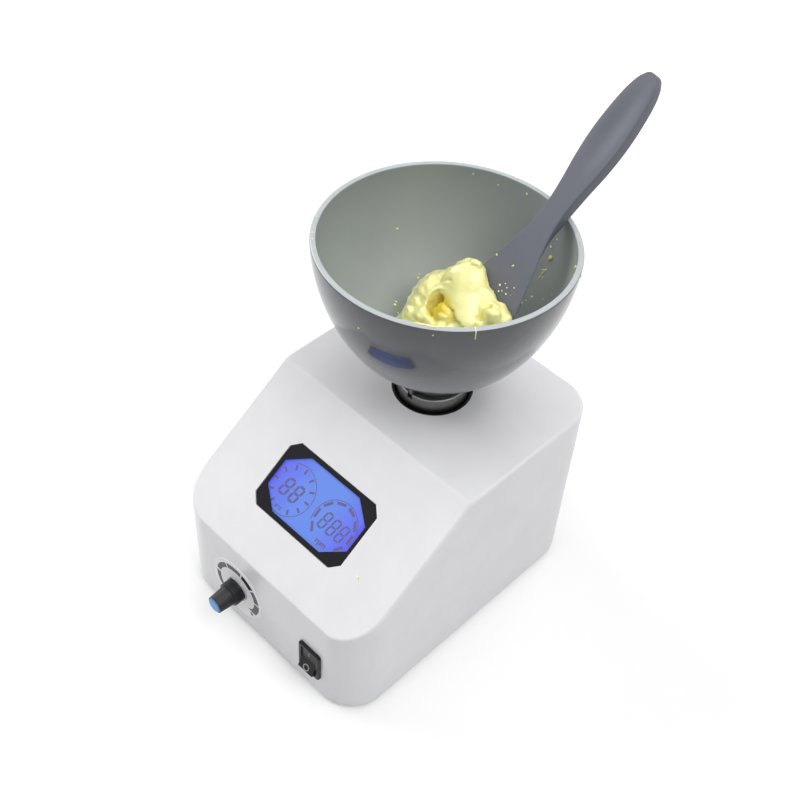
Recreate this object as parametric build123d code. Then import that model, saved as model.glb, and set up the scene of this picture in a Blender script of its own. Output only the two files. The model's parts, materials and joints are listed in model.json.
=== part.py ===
from build123d import *
from math import atan, atan2, cos, degrees, hypot, pi, radians, sin, sqrt, tan
import os

# A bench mixer for dental impression material. Millimetres, +Z up, X across the
# front, Y towards the back, Z = 0 on the surface that the rubber feet stand on.

# ---- housing, driving sizes
body_width = 133.0
body_depth = 172.0
body_height = 111.0
lip_height = 58.0
crease_depth = 76.0
corner_radius = 20.5
shell_wall = 3.0
edge_round = 1.8
foot_gap = 3.0
spindle_depth = 117.6
spindle_y = 15.0

front_y = spindle_y - spindle_depth
back_y = front_y + body_depth
lip_z = foot_gap + lip_height
top_z = foot_gap + body_height
slope_rise = body_height - lip_height
slope_angle = degrees(atan(slope_rise / crease_depth))
slope_cos = cos(radians(slope_angle))
slope_sin = sin(radians(slope_angle))

# ---- planes that the controls are laid out on, each with its X across the front
front_plane = Plane(origin=(0, front_y, 0), x_dir=(1, 0, 0), z_dir=(0, -1, 0))
back_plane = Plane(origin=(0, back_y, 0), x_dir=(-1, 0, 0), z_dir=(0, 1, 0))
slope_plane = Plane(origin=(0, front_y, lip_z), x_dir=(1, 0, 0), z_dir=(0, -slope_sin, slope_cos))

# ---- base
plate_gap = 0.4
plate_thick = 1.5
plate_z = 4.0
plate_top = plate_z + plate_thick
boss_radius = 4.5
boss_reach = 10.0
boss_height = 16.0
foot_radius = 8.0
foot_x = 48.0
foot_inset = 22.0

# ---- spindle and its drive
hole_radius = 21.0
cup_radius = 18.5
cup_bore = 15.6
cup_floor_z = 102.0
cup_socket_z = 108.0
cup_top_z = top_z + 8.0
notch_width = 3.0
notch_depth = 3.0
notch_angle = -86.0
shaft_radius = 5.0
shaft_bottom = 44.0
deck_top = 86.0
deck_thick = 2.0
deck_under = deck_top - deck_thick
bearing_od = 26.0
bearing_width = 8.0
upper_bearing_z = 76.0
lower_bearing_z = 48.0
pulley_z = 88.6
pulley_height = 12.0
rib_pitch = 2.34
rib_count = 4
rib_depth = 1.7
spindle_pulley_radius = 27.0
motor_pulley_radius = 9.0
belt_clear = 0.35
belt_back = 2.0
motor_x = -38.0
motor_y = front_y + 88.0
motor_radius = 19.0
motor_length = 48.0
motor_shaft_radius = 2.5

# ---- bowl
bowl_rim_radius = 63.2
bowl_foot_radius = 8.2
bowl_depth = 76.8
bowl_bottom_z = top_z + 17.1
bowl_wall = 2.9
bowl_floor = 3.5
bowl_rim_round = 0.6
bowl_power_a = 1.765
bowl_power_b = 1.958
bowl_boss_radius = 15.2
bowl_rim_z = bowl_bottom_z + bowl_depth
bowl_lean = 2.12
lean_axis = Axis((0, spindle_y, 115), (-0.793, -0.609, 0))

# ---- spatula: its face plane, with X across it, Y up the handle and Z out of the face
spatula_centre = (20.4, front_y + 170.5, 212.7)
spatula_up = Vector(0.1104, 0.6197, 0.7771).normalized()
spatula_across = spatula_up.cross(Vector(0, 0, 1)).normalized()
spatula_face = spatula_across.cross(spatula_up)
spatula_seat_gap = 1.0
spatula_plane = Plane(
    origin=Vector(*spatula_centre) + spatula_face * spatula_seat_gap,
    x_dir=spatula_across,
    z_dir=spatula_face,
)
spatula_thick = 6.6
blade_end = -84.0
blade_half = 21.0
handle_end = 74.0

# ---- display, on the sloping face
display_u = 44.1
display_width = 62.7
display_height = 38.3
display_corner = 4.9
display_recess = 0.5
window_width = 58.7
window_height = 33.3
window_corner_x = 12.0
window_corner_u = 9.3

# ---- speed knob and rocker switch, on the front face
knob_x = -19.8
knob_z = 28.1
dial_radius = 19.1
switch_x = 36.7
switch_z = 26.0
rocker_tilt = 12.0

# ---- mains inlet, on the back
inlet_x = 23.0
inlet_z = 32.0

# ---- electrics inside
board_z = 12.0
board_thick = 1.6
transformer_x = 46.0
transformer_y = 3.0

fit = 0.05


def slope_height(y, inset=0.0):
    """Height of the sloping face, or of a plane that lies inset below it, at a depth y."""
    return lip_z + (y - front_y) * tan(radians(slope_angle)) - inset / slope_cos


def wedge(inset, z_low):
    """The housing's block, drawn in by inset on every face above z_low."""
    crease_y = front_y + (top_z - inset - lip_z + inset / slope_cos) / tan(radians(slope_angle))
    side = Polyline(
        (front_y + inset, z_low),
        (front_y + inset, slope_height(front_y + inset, inset)),
        (crease_y, top_z - inset),
        (back_y - inset, top_z - inset),
        (back_y - inset, z_low),
        close=True,
    )
    profile = extrude(Plane.YZ * make_face(side), amount=body_width / 2, both=True)
    plan = RectangleRounded(body_width - 2 * inset, body_depth - 2 * inset, corner_radius - inset)
    middle_y = (front_y + back_y) / 2
    column = extrude(Plane.XY.offset(z_low) * Pos(0, middle_y) * plan, amount=body_height + 5)
    return profile & column


def clipped_rectangle(width, height, corner_x, corner_y):
    """A rectangle with its four corners cut off."""
    half_w = width / 2
    half_h = height / 2
    corners = [
        (half_w - corner_x, -half_h),
        (half_w, -half_h + corner_y),
        (half_w, half_h - corner_y),
        (half_w - corner_x, half_h),
        (-half_w + corner_x, half_h),
        (-half_w, half_h - corner_y),
        (-half_w, -half_h + corner_y),
        (-half_w + corner_x, -half_h),
    ]
    return make_face(Polyline(*corners, close=True))


def ring(outer, inner, z_low, z_high, x=0.0, y=0.0):
    """A plain upright ring."""
    return extrude(Plane.XY.offset(z_low) * Pos(x, y) * (Circle(outer) - Circle(inner)), amount=z_high - z_low)


def rod(radius, z_low, z_high, x=0.0, y=0.0):
    """A plain upright cylinder."""
    return extrude(Plane.XY.offset(z_low) * Pos(x, y) * Circle(radius), amount=z_high - z_low)


def slab(plane, width, height, low, high, x=0.0, y=0.0):
    """A rectangular block on a plane, from low to high along its normal."""
    return extrude(plane.offset(low) * Pos(x, y) * Rectangle(width, height), amount=high - low)


def disc(plane, radius, low, high, x=0.0, y=0.0):
    """A round block on a plane, from low to high along its normal."""
    return extrude(plane.offset(low) * Pos(x, y) * Circle(radius), amount=high - low)


def screw(plane, x, y, radius, length, head_radius, head_height):
    """A pan-head screw that points down into a plane, with its head on top and a cross in it."""
    head = disc(plane, head_radius, 0, head_height, x, y)
    head = fillet(head.edges().group_by(lambda e: (e.center() - plane.origin).dot(plane.z_dir))[-1], head_height * 0.4)
    arm = head_radius * 1.1
    for turn in (0, 90):
        cross = plane.offset(head_height * 0.5) * Pos(x, y) * Rot(0, 0, turn) * Rectangle(arm, head_radius * 0.22)
        head -= extrude(cross, amount=head_height)
    return head + disc(plane, radius, -length, 0, x, y)


def corner_posts():
    """Where the four base screws go: near the corner circles' centres, towards the corners."""
    x = body_width / 2 - corner_radius + boss_reach
    inset = corner_radius - boss_reach
    return [(sx * x, y) for sx in (-1, 1) for y in (front_y + inset, back_y - inset)]


def foot_places():
    return [(sx * foot_x, y) for sx in (-1, 1) for y in (front_y + foot_inset, back_y - foot_inset)]


def chassis_places():
    return [(x, y) for x in (-54.0, 20.0) for y in (motor_y - 14.0, spindle_y + 18.0)]


def board_places():
    return [(sx * 46.0, y) for sx in (-1, 1) for y in (board_y - 11.0, board_y + 11.0)]


def transformer_places():
    return [(transformer_x, transformer_y + sy * 31.0) for sy in (-1, 1)]


board_y = front_y + 45.0
board_width = 102.0
board_depth = 30.0


def make_housing():
    shell = wedge(0, foot_gap)
    rim_edges = [e for e in shell.edges() if e.bounding_box().min.Z > lip_z - 0.5]
    shell = fillet(rim_edges, edge_round)
    shell -= wedge(shell_wall, foot_gap - 1)
    for x, y in corner_posts():
        post = rod(boss_radius, plate_top, plate_top + boss_height, x, y)
        shell += post & wedge(shell_wall / 2, foot_gap)
        shell -= rod(1.25, plate_top - 1, plate_top + boss_height - 3, x, y)
    shell -= rod(hole_radius, top_z - 6, top_z + 2, 0, spindle_y)
    opening = clipped_rectangle(display_width + 0.5, display_height + 0.5, display_corner, display_corner)
    shell -= extrude(slope_plane.offset(-6) * Pos(0, display_u) * opening, amount=8)
    shell -= slab(front_plane, 13.4, 19.4, -5, 2, switch_x, switch_z)
    shell -= disc(front_plane, 3.6, -5, 2, knob_x, knob_z)
    shell -= slab(back_plane, 28.0, 20.4, -5, 2, -inlet_x, inlet_z)
    for side in (-20, 20):
        shell -= disc(back_plane, 1.6, -5, 2, -inlet_x + side, inlet_z)
    for row in range(6):
        slot = Pos(inlet_x, 24 + 6.5 * row) * SlotOverall(34, 2.6)
        shell -= extrude(back_plane.offset(-5) * slot, amount=8)
    return shell


def make_base_plate():
    inset = shell_wall + plate_gap
    outline = RectangleRounded(body_width - 2 * inset, body_depth - 2 * inset, corner_radius - inset)
    plate = extrude(Plane.XY.offset(plate_z) * Pos(0, (front_y + back_y) / 2) * outline, amount=plate_thick)
    holes = [(1.6, p) for p in corner_posts() + board_places() + transformer_places()]
    holes += [(1.5, p) for p in foot_places()]
    holes += [(2.1, p) for p in chassis_places()]
    for radius, (x, y) in holes:
        plate -= rod(radius, plate_z - 1, plate_top + 1, x, y)
    for row in range(8):
        for side in (-1, 1):
            slot = Pos(side * 15, front_y + 84 + 6 * row) * SlotOverall(22, 2.6)
            plate -= extrude(Plane.XY.offset(plate_z - 1) * slot, amount=plate_thick + 2)
    return plate


def make_feet():
    feet = []
    for x, y in foot_places():
        foot = Pos(x, y, 0) * Cone(foot_radius - 1, foot_radius, plate_z, align=(Align.CENTER, Align.CENTER, Align.MIN))
        foot -= rod(3.4, -1, 2.2, x, y)
        foot -= rod(1.6, 0, plate_z + 1, x, y)
        feet.append(foot)
    return feet


def upward_screws(places, head_z, radius, length, head_radius, head_height):
    """Screws whose heads are below and whose shanks point up."""
    plane = Plane(origin=(0, 0, head_z), x_dir=(1, 0, 0), z_dir=(0, 0, -1))
    return [screw(plane, x, -y, radius, length, head_radius, head_height) for x, y in places]


def downward_screws(places, head_z, radius, length, head_radius, head_height):
    """Screws whose heads are on top."""
    plane = Plane.XY.offset(head_z)
    return [screw(plane, x, y, radius, length, head_radius, head_height) for x, y in places]


def make_chassis():
    """The bent steel bridge that carries the motor and the spindle."""
    left = -61.0
    right = 27.0
    foot = 15.0
    leg = [(left + foot, plate_top), (left, plate_top), (left, deck_top)]
    leg += [(right, deck_top), (right, plate_top), (right - foot, plate_top)]
    leg += [(right - foot, plate_top + deck_thick), (right - deck_thick, plate_top + deck_thick)]
    leg += [(right - deck_thick, deck_under), (left + deck_thick, deck_under)]
    leg += [(left + deck_thick, plate_top + deck_thick), (left + foot, plate_top + deck_thick)]
    depth = 80.0
    low_y = front_y + 66
    section = Plane.XZ.offset(-low_y) * make_face(Polyline(*leg, close=True))
    bridge = extrude(section, amount=-depth)
    bends = bridge.edges().filter_by(Axis.Y)
    outer = [e for e in bends if min(abs(e.center().X - left), abs(e.center().X - right)) < 0.01]
    bridge = fillet(outer, 2.6)
    middle = low_y + depth / 2
    for x in (left + 1, right - 1):
        window = Pos(x, middle, 46) * Box(8, depth - 26, 56)
        bridge -= fillet(window.edges().filter_by(Axis.X), 5)
    bridge -= rod(14.1, deck_under - 2, deck_top + 2, 0, spindle_y)
    bridge -= rod(6.1, deck_under - 2, deck_top + 2, motor_x, motor_y)
    for x, y in flange_places():
        bridge -= rod(1.8, deck_under - 2, deck_top + 2, x, y)
    for x, y in motor_places():
        bridge -= rod(1.6, deck_under - 2, deck_top + 2, x, y)
    for x, y in chassis_places():
        bridge -= rod(2.1, plate_top - 1, plate_top + 4, x, y)
    return bridge


def flange_places():
    reach = 18.6
    return [(reach * cos(radians(a)), spindle_y + reach * sin(radians(a))) for a in (45, 135, 225, 315)]


def motor_places():
    return [(motor_x + side * 12.5, motor_y) for side in (-1, 1)]


def make_bearing_housing():
    """A flanged tube with a seat for a ball bearing at each end, and four gussets."""
    tube_bottom = lower_bearing_z - 2
    body = ring(16.5, 11.5, tube_bottom, deck_under, 0, spindle_y)
    body += ring(22.5, 11.5, deck_under - 5, deck_under, 0, spindle_y)
    body += ring(14.0, 11.5, deck_under, deck_top, 0, spindle_y)
    for turn in (0, 90, 180, 270):
        gusset = make_face(Polyline((16, deck_under - 5), (21.5, deck_under - 5), (16, deck_under - 16), close=True))
        rib = extrude(Plane.XZ * gusset, amount=1.25, both=True)
        body += Pos(0, spindle_y, 0) * Rot(0, 0, turn) * rib
    body -= rod(bearing_od / 2, upper_bearing_z, deck_top + 1, 0, spindle_y)
    body -= rod(bearing_od / 2, tube_bottom - 1, lower_bearing_z + bearing_width, 0, spindle_y)
    for x, y in flange_places():
        body -= rod(1.35, deck_under - 6, deck_under + 1, x, y)
    return body


def make_bearing_outer():
    """Outer rings with their seals, upper and lower."""
    rings = []
    for z in (upper_bearing_z, lower_bearing_z):
        race = ring(bearing_od / 2, 11.2, z, z + bearing_width, 0, spindle_y)
        for seal_z in (z + 0.2, z + bearing_width - 1.0):
            race += ring(11.3, 7.4, seal_z, seal_z + 0.8, 0, spindle_y)
        rings.append(race)
    return rings


def make_bearing_inner():
    return [
        ring(7.0, shaft_radius, z, z + bearing_width, 0, spindle_y)
        for z in (upper_bearing_z, lower_bearing_z)
    ]


def make_spindle():
    shaft = rod(shaft_radius, shaft_bottom, cup_socket_z - 0.5, 0, spindle_y)
    shaft += rod(6.6, upper_bearing_z + bearing_width, pulley_z, 0, spindle_y)
    shaft = chamfer(shaft.edges().sort_by(Axis.Z)[0], 0.6)
    shaft -= ring(shaft_radius + 1, shaft_radius - 0.4, lower_bearing_z - 1.2, lower_bearing_z, 0, spindle_y)
    return shaft


def make_circlip():
    """The snap ring under the lower bearing, open at one side."""
    clip = ring(shaft_radius + 1.9, shaft_radius - 0.4, lower_bearing_z - 1.1, lower_bearing_z, 0, spindle_y)
    clip -= Pos(shaft_radius + 1, spindle_y, lower_bearing_z) * Box(4.4, 4.6, 4)
    return clip


def grooved_pulley(radius, bore, x, y, flange):
    """A pulley with rib_count V grooves round it and a flange at each edge."""
    band = rib_pitch * rib_count
    edge = (pulley_height - band) / 2
    points = [(bore, 0), (radius + flange, 0), (radius + flange, edge)]
    points.append((radius, edge))
    for groove in range(rib_count):
        low = edge + groove * rib_pitch
        points.append((radius, low + 0.25))
        points.append((radius - rib_depth, low + rib_pitch / 2 - 0.2))
        points.append((radius - rib_depth, low + rib_pitch / 2 + 0.2))
        points.append((radius, low + rib_pitch - 0.25))
    points += [(radius, pulley_height - edge), (radius + flange, pulley_height - edge)]
    points += [(radius + flange, pulley_height), (bore, pulley_height)]
    section = make_face(Polyline(*points, close=True))
    wheel = revolve(Plane.XZ * section, Axis.Z)
    return Pos(x, y, pulley_z) * wheel


def make_spindle_pulley():
    wheel = grooved_pulley(spindle_pulley_radius, shaft_radius, 0, spindle_y, 1.6)
    wheel -= ring(21.0, 9.5, pulley_z + 5.0, pulley_z + pulley_height + 1, 0, spindle_y)
    for turn in range(6):
        a = radians(60 * turn)
        wheel -= rod(4.2, pulley_z - 1, pulley_z + 6, 15.3 * cos(a), spindle_y + 15.3 * sin(a))
    return wheel


def make_motor_pulley():
    return grooved_pulley(motor_pulley_radius, motor_shaft_radius, motor_x, motor_y, 1.6)


def make_belt():
    """The ribbed belt: a flat back on both wraps and both straight runs, with ribs in the grooves."""
    dx = motor_x
    dy = motor_y - spindle_y
    distance = hypot(dx, dy)
    gap = spindle_pulley_radius - motor_pulley_radius
    lean = degrees(atan2(sqrt(distance**2 - gap**2), gap))
    along = degrees(atan2(dy, dx))
    band = rib_pitch * rib_count
    low = pulley_z + (pulley_height - band) / 2

    def loop(offset):
        """A closed outline round both pulleys, offset outside their grooved rims."""
        big = spindle_pulley_radius + offset
        small = motor_pulley_radius + offset
        a = radians(along + lean)
        b = radians(along - lean)
        p1 = (big * cos(a), spindle_y + big * sin(a))
        p2 = (motor_x + small * cos(a), motor_y + small * sin(a))
        p3 = (motor_x + small * cos(b), motor_y + small * sin(b))
        p4 = (big * cos(b), spindle_y + big * sin(b))
        near = radians(along)
        far = radians(along + 180)
        mid_small = (motor_x + small * cos(near), motor_y + small * sin(near))
        mid_big = (big * cos(far), spindle_y + big * sin(far))
        edges = [
            Line(p1, p2),
            ThreePointArc(p2, mid_small, p3),
            Line(p3, p4),
            ThreePointArc(p4, mid_big, p1),
        ]
        return make_face(Wire(edges))

    def layer(outer, inner, z_low, z_high):
        return extrude(Plane.XY.offset(z_low) * (loop(outer) - loop(inner)), amount=z_high - z_low)

    belt = layer(belt_clear + belt_back, belt_clear, low + 0.35, low + band - 0.35)
    for rib in range(rib_count):
        middle = low + (rib + 0.5) * rib_pitch
        belt += layer(belt_clear + 0.01, belt_clear - 0.6, middle - 0.42, middle + 0.42)
    return belt


def make_drive_cup():
    """The socket that turns the bowl: a thick floor on the spindle, and a wall with drive notches."""
    cup = rod(cup_radius, cup_floor_z, cup_top_z, 0, spindle_y)
    cup = chamfer(cup.edges().sort_by(Axis.Z)[0], 1.0)
    cup -= rod(cup_bore, cup_socket_z, cup_top_z + 1, 0, spindle_y)
    lip = [e for e in cup.edges() if abs(e.center().Z - cup_top_z) < 0.01]
    cup = fillet(lip, 0.8)
    cup -= rod(shaft_radius, cup_floor_z - 1, cup_socket_z + 1, 0, spindle_y)
    for turn in range(3):
        a = notch_angle + 120 * turn
        block = Pos(cup_radius, 0, cup_top_z) * Box(9, notch_width, 2 * notch_depth)
        cup -= Pos(0, spindle_y, 0) * Rot(0, 0, a) * block
    grub_hole = Plane(origin=(0, spindle_y, cup_floor_z + 3), z_dir=(1, 0, 0))
    cup -= disc(grub_hole, 2.0, 0, cup_radius + 1)
    return cup


def make_cup_grub_screw():
    """The set screw that clamps the cup to the spindle, with a hexagon socket."""
    plane = Plane(origin=(0, spindle_y, cup_floor_z + 3), z_dir=(1, 0, 0))
    grub = disc(plane, 2.0, shaft_radius, shaft_radius + 9)
    grub -= extrude(plane.offset(shaft_radius + 6.5) * RegularPolygon(1.15, 6), amount=4)
    return grub


def make_splash_ring():
    """The black ring that lines the hole in the top of the housing."""
    ring_body = ring(hole_radius, 19.6, top_z - 5.0, top_z - 0.3, 0, spindle_y)
    ring_body += ring(25.0, 19.6, top_z - shell_wall - 2.0, top_z - shell_wall, 0, spindle_y)
    return ring_body


def bowl_radius(t, rim, start):
    """Radius of the bowl at a share t of its depth: a bulging curve that ends upright."""
    return start + (rim - start) * (1 - (1 - t) ** bowl_power_a) ** (1 / bowl_power_b)


def bowl_points(rim, start, low, high):
    shares = [0.015, 0.06, 0.15, 0.3, 0.5, 0.75, 1.0]
    return [(bowl_radius(t, rim, start), low + (high - low) * t) for t in shares]


def bowl_cavity():
    """The space inside the bowl, upright."""
    floor_z = bowl_bottom_z + bowl_floor
    start = bowl_foot_radius - 1.0
    points = bowl_points(bowl_rim_radius - bowl_wall, start, floor_z, bowl_rim_z)
    side = Spline(*points, tangents=((1, 0.22), (0, 1)))
    outline = [
        Line((0, floor_z), (points[0][0] - 3, floor_z)),
        ThreePointArc(
            (points[0][0] - 3, floor_z),
            (points[0][0] - 1.4, floor_z + 0.2),
            points[0],
        ),
        side,
        Line(points[-1], (0, bowl_rim_z)),
        Line((0, bowl_rim_z), (0, floor_z)),
    ]
    return Pos(0, spindle_y, 0) * revolve(Plane.XZ * make_face(Wire(outline)), Axis.Z)


def make_bowl():
    """The flexible bowl with its foot, which leans a little in its socket, within the socket's clearance."""
    boss_low = cup_socket_z + 0.8
    points = bowl_points(bowl_rim_radius, bowl_foot_radius, bowl_bottom_z, bowl_rim_z)
    side = Spline(*points, tangents=((1, 0.22), (0, 1)))
    outline = [
        Line((0, bowl_bottom_z), (points[0][0], bowl_bottom_z)),
        Line((points[0][0], bowl_bottom_z), points[0]),
        side,
        Line(points[-1], (0, bowl_rim_z)),
        Line((0, bowl_rim_z), (0, bowl_bottom_z)),
    ]
    bowl = Pos(0, spindle_y, 0) * revolve(Plane.XZ * make_face(Wire(outline)), Axis.Z)
    bowl += rod(bowl_boss_radius, boss_low, bowl_bottom_z + 3, 0, spindle_y)
    bowl -= bowl_cavity()
    rim = [e for e in bowl.edges() if abs(e.center().Z - bowl_rim_z) < 0.01]
    bowl = fillet(rim, bowl_rim_round)
    bowl -= rod(bowl_boss_radius - 3.4, boss_low - 1, bowl_bottom_z - 3, 0, spindle_y)
    for turn in range(3):
        a = notch_angle + 120 * turn
        lug = Pos(bowl_boss_radius + 1.1, 0, cup_top_z + 0.6) * Box(3.4, notch_width - 0.8, 5.2)
        bowl += Pos(0, spindle_y, 0) * Rot(0, 0, a) * lug
    return bowl.rotate(lean_axis, bowl_lean)


def spatula_outline():
    """Half the outline of the spatula, from the blade's end to the handle's tip, then mirrored."""
    corner = 8.0
    right = [
        (blade_half, blade_end + corner),
        (19.8, -66),
        (15.8, -46),
        (11.6, -30.5),
        (8.6, -20),
        (6.7, -10),
        (6.3, 1),
        (7.2, 12),
        (8.9, 25),
        (9.7, 38),
        (9.2, 50),
        (7.9, 61),
        (5.8, handle_end - 5.5),
        (0, handle_end),
    ]
    side = Spline(*right, tangents=((0, 1), (-1, 0)))
    end = Line((0, blade_end), (blade_half - corner, blade_end))
    bend = JernArc((blade_half - corner, blade_end), (1, 0), corner, 90)
    half = [end, bend, side]
    other = [edge.mirror(Plane.YZ) for edge in half]
    return make_face(Wire(half + other))


def make_spatula():
    plate = extrude(spatula_outline(), amount=-spatula_thick)
    side = Polyline(
        (blade_end - 1, 0.5),
        (blade_end - 1, -1.3),
        (-50, -1.9),
        (-26, -3.4),
        (-6, -spatula_thick + 0.8),
        (6, -spatula_thick),
        (handle_end + 1, -spatula_thick),
        (handle_end + 1, 0.5),
        close=True,
    )
    taper = extrude(Plane.YZ * make_face(side), amount=40, both=True)
    blank = plate & taper
    rim = [e for e in blank.edges() if e.bounding_box().min.Z > -0.01]
    blank = fillet(rim, 0.6)
    back = [e for e in blank.edges() if e.bounding_box().max.Z < -spatula_thick + 0.01]
    blank = chamfer(back, 0.8)
    dish = Pos(0, 42, 0.1) * scale(Sphere(1), by=(7.6, 30, 1.3))
    return spatula_plane * (blank - dish)


def paste_lumps():
    """Centres and half sizes of the lumps that the mixed paste is gathered from."""
    return [
        ((-1.0, 23.0, 156.0), (23.0, 16.0, 20.0)),
        ((2.0, 12.0, 147.0), (25.0, 20.0, 13.0)),
        ((-8.0, 17.0, 150.0), (15.0, 16.0, 16.0)),
        ((1.0, 35.5, 173.5), (12.5, 10.0, 12.5)),
        ((-9.0, 29.0, 164.0), (14.0, 12.0, 13.0)),
        ((23.5, 26.5, 165.0), (11.5, 10.0, 14.0)),
    ]


def make_paste():
    lumps = None
    for (x, y, z), (rx, ry, rz) in paste_lumps():
        lump = Pos(x, y, z) * scale(Sphere(1), by=(rx, ry, rz))
        lumps = lump if lumps is None else lumps + lump
    lumps = lumps & bowl_cavity().rotate(lean_axis, bowl_lean)
    gap = 0.4
    behind = Pos(0, -10, gap - 30) * Box(2 * blade_half + 2 * gap, 2 * (-blade_end) + 20, 60)
    return lumps - spatula_plane * behind


def make_display():
    """The framed display module, from its bezel to its circuit board."""
    outer = clipped_rectangle(display_width, display_height, display_corner, display_corner)
    window = clipped_rectangle(window_width, window_height, window_corner_x, window_corner_u)
    centre = Pos(0, display_u)
    wall = shell_wall
    flange_low = -wall - 1.7
    bezel = extrude(slope_plane.offset(flange_low) * centre * outer, amount=-flange_low - display_recess)
    bezel += extrude(slope_plane.offset(flange_low) * centre * RectangleRounded(76, 46, 3), amount=1.7)
    posts = [(sx * 34.5, display_u + sy * 19.5) for sx in (-1, 1) for sy in (-1, 1)]
    board_top = flange_low - 3.4
    for x, y in posts:
        bezel += disc(slope_plane, 2.6, board_top, flange_low + 0.5, x, y)
        bezel -= disc(slope_plane, 0.9, board_top - 1, flange_low - 0.2, x, y)
    pocket = clipped_rectangle(61.2, 36.8, 4.46, 4.46)
    bezel -= extrude(slope_plane.offset(flange_low - 1) * centre * pocket, amount=-flange_low + 1 - 1.3)
    bezel -= extrude(slope_plane.offset(-3) * centre * window, amount=4)
    pane = clipped_rectangle(61.0, 36.6, 4.4, 4.4)
    glass = extrude(slope_plane.offset(-3.5) * centre * pane, amount=2.2)
    light = extrude(slope_plane.offset(board_top) * centre * pane, amount=-3.5 - board_top)
    board = slab(slope_plane, 76, 46, board_top - 1.6, board_top, 0, display_u)
    for x, y in posts:
        board -= disc(slope_plane, 1.1, board_top - 3, board_top + 1, x, y)
    chip = slab(slope_plane, 14, 14, board_top - 3.6, board_top - 1.6, -12, display_u + 2)
    socket = slab(slope_plane, 18, 5, board_top - 6.6, board_top - 1.6, 14, display_u - 16)
    under = Plane(origin=slope_plane.offset(board_top - 1.6).origin, x_dir=(1, 0, 0), z_dir=-slope_plane.z_dir)
    screws = [screw(under, x, -y, 0.9, 4.6, 2.0, 1.3) for x, y in posts]
    return bezel, glass, light, board + chip + socket, screws


def make_dial_plate():
    return disc(front_plane, dial_radius, 0, 0.3, knob_x, knob_z) - disc(front_plane, 3.65, -1, 1, knob_x, knob_z)


def make_pot():
    """The potentiometer behind the front wall: its can, its threaded bush and its three tags."""
    wall = -shell_wall
    pot = disc(front_plane, 8.2, wall - 7.5, wall, knob_x, knob_z)
    pot += disc(front_plane, 3.5, wall - 1, 4.3, knob_x, knob_z)
    pot += slab(front_plane, 12, 5, wall - 4.5, wall - 2.5, knob_x, knob_z - 9.5)
    for side in (-1, 0, 1):
        pot += slab(front_plane, 1.2, 8, wall - 3.8, wall - 3.2, knob_x + 4 * side, knob_z - 14.5)
    pot -= disc(front_plane, 3.0 + fit, wall - 6.3, 6, knob_x, knob_z)
    return pot


def make_pot_washer():
    return disc(front_plane, 7.4, 0.3, 1.1, knob_x, knob_z) - disc(front_plane, 3.5, 0, 2, knob_x, knob_z)


def make_pot_nut():
    nut = extrude(front_plane.offset(1.1) * Pos(knob_x, knob_z) * RegularPolygon(5.2, 6), amount=2.0)
    return nut - disc(front_plane, 3.5, 1, 4, knob_x, knob_z)


def make_pot_shaft():
    return disc(front_plane, 3.0, -shell_wall - 6.0, 12.5, knob_x, knob_z)


def make_knob():
    """A skirted knob with a tapered, fluted grip, hollow under the skirt to clear the nut."""
    centre = front_plane * Pos(knob_x, knob_z)
    profile = Polyline(
        (3.0, 5.0),
        (5.8, 5.0),
        (5.8, 1.7),
        (6.75, 1.7),
        (6.75, 6.2),
        (6.3, 6.6),
        (5.6, 6.6),
        (4.8, 15.6),
        (4.2, 15.6),
        (4.2, 14.6),
        (0, 14.6),
        (0, 12.5),
        (3.0, 12.5),
        close=True,
    )
    body = revolve(Plane.XZ * make_face(profile), Axis.Z)
    for flute in range(18):
        a = 20 * flute
        groove = Pos(5.95, 0, 6.7) * Rot(0, -5.4, 0) * Cylinder(0.5, 20, align=(Align.CENTER, Align.CENTER, Align.MIN))
        body -= Rot(0, 0, a) * groove
    return centre * body


def make_knob_cap():
    """The coloured cap pressed into the knob's end, with a rounded edge."""
    cap = disc(front_plane, 4.2, 14.6, 16.2, knob_x, knob_z)
    return fillet(cap.edges().sort_by(Axis.Y)[0], 0.7)


def make_switch():
    """The rocker switch's housing and its two blades."""
    place = Pos(switch_x, switch_z)
    body = extrude(front_plane.offset(0) * place * RectangleRounded(15, 21, 1.6), amount=1.8)
    body = chamfer(body.faces().sort_by(Axis.Y)[0].edges(), 0.5)
    body += slab(front_plane, 13, 19, -13, 0, switch_x, switch_z)
    body -= slab(front_plane, 10.6, 17.2, -10.5, 3, switch_x, switch_z)
    pivot = Plane(origin=(switch_x, front_y + 1.0, switch_z), z_dir=(1, 0, 0))
    body -= disc(pivot, 1.2 + fit, -6.3, 6.3)
    blades = [slab(front_plane, 4.8, 0.8, -21, -13, switch_x, switch_z + 3.6 * side) for side in (-1, 1)]
    return body, blades


def make_rocker():
    """The rocker: part of a drum about its pivot, with a hollowed face, pressed in at the top."""
    radius = 8.2
    pivot_in = -1.0
    half_width = 5.0
    face = Polyline((-9, 12), (-9, 3.2), (0, 1.2), (9, 3.2), (9, 12), close=True)
    drum = Circle(radius) & Pos(0, 3) * Rectangle(20, 12)
    drum -= Pos(0, -pivot_in) * make_face(face)
    side = Plane(origin=(0, 0, 0), x_dir=(0, 0, 1), z_dir=(1, 0, 0))
    body = extrude(side * drum, amount=half_width, both=True)
    body = Rot(-rocker_tilt, 0, 0) * body
    body += Rot(0, 90, 0) * Cylinder(1.2, 2 * 6.1)
    return Pos(switch_x, front_y - pivot_in, switch_z) * body


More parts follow.
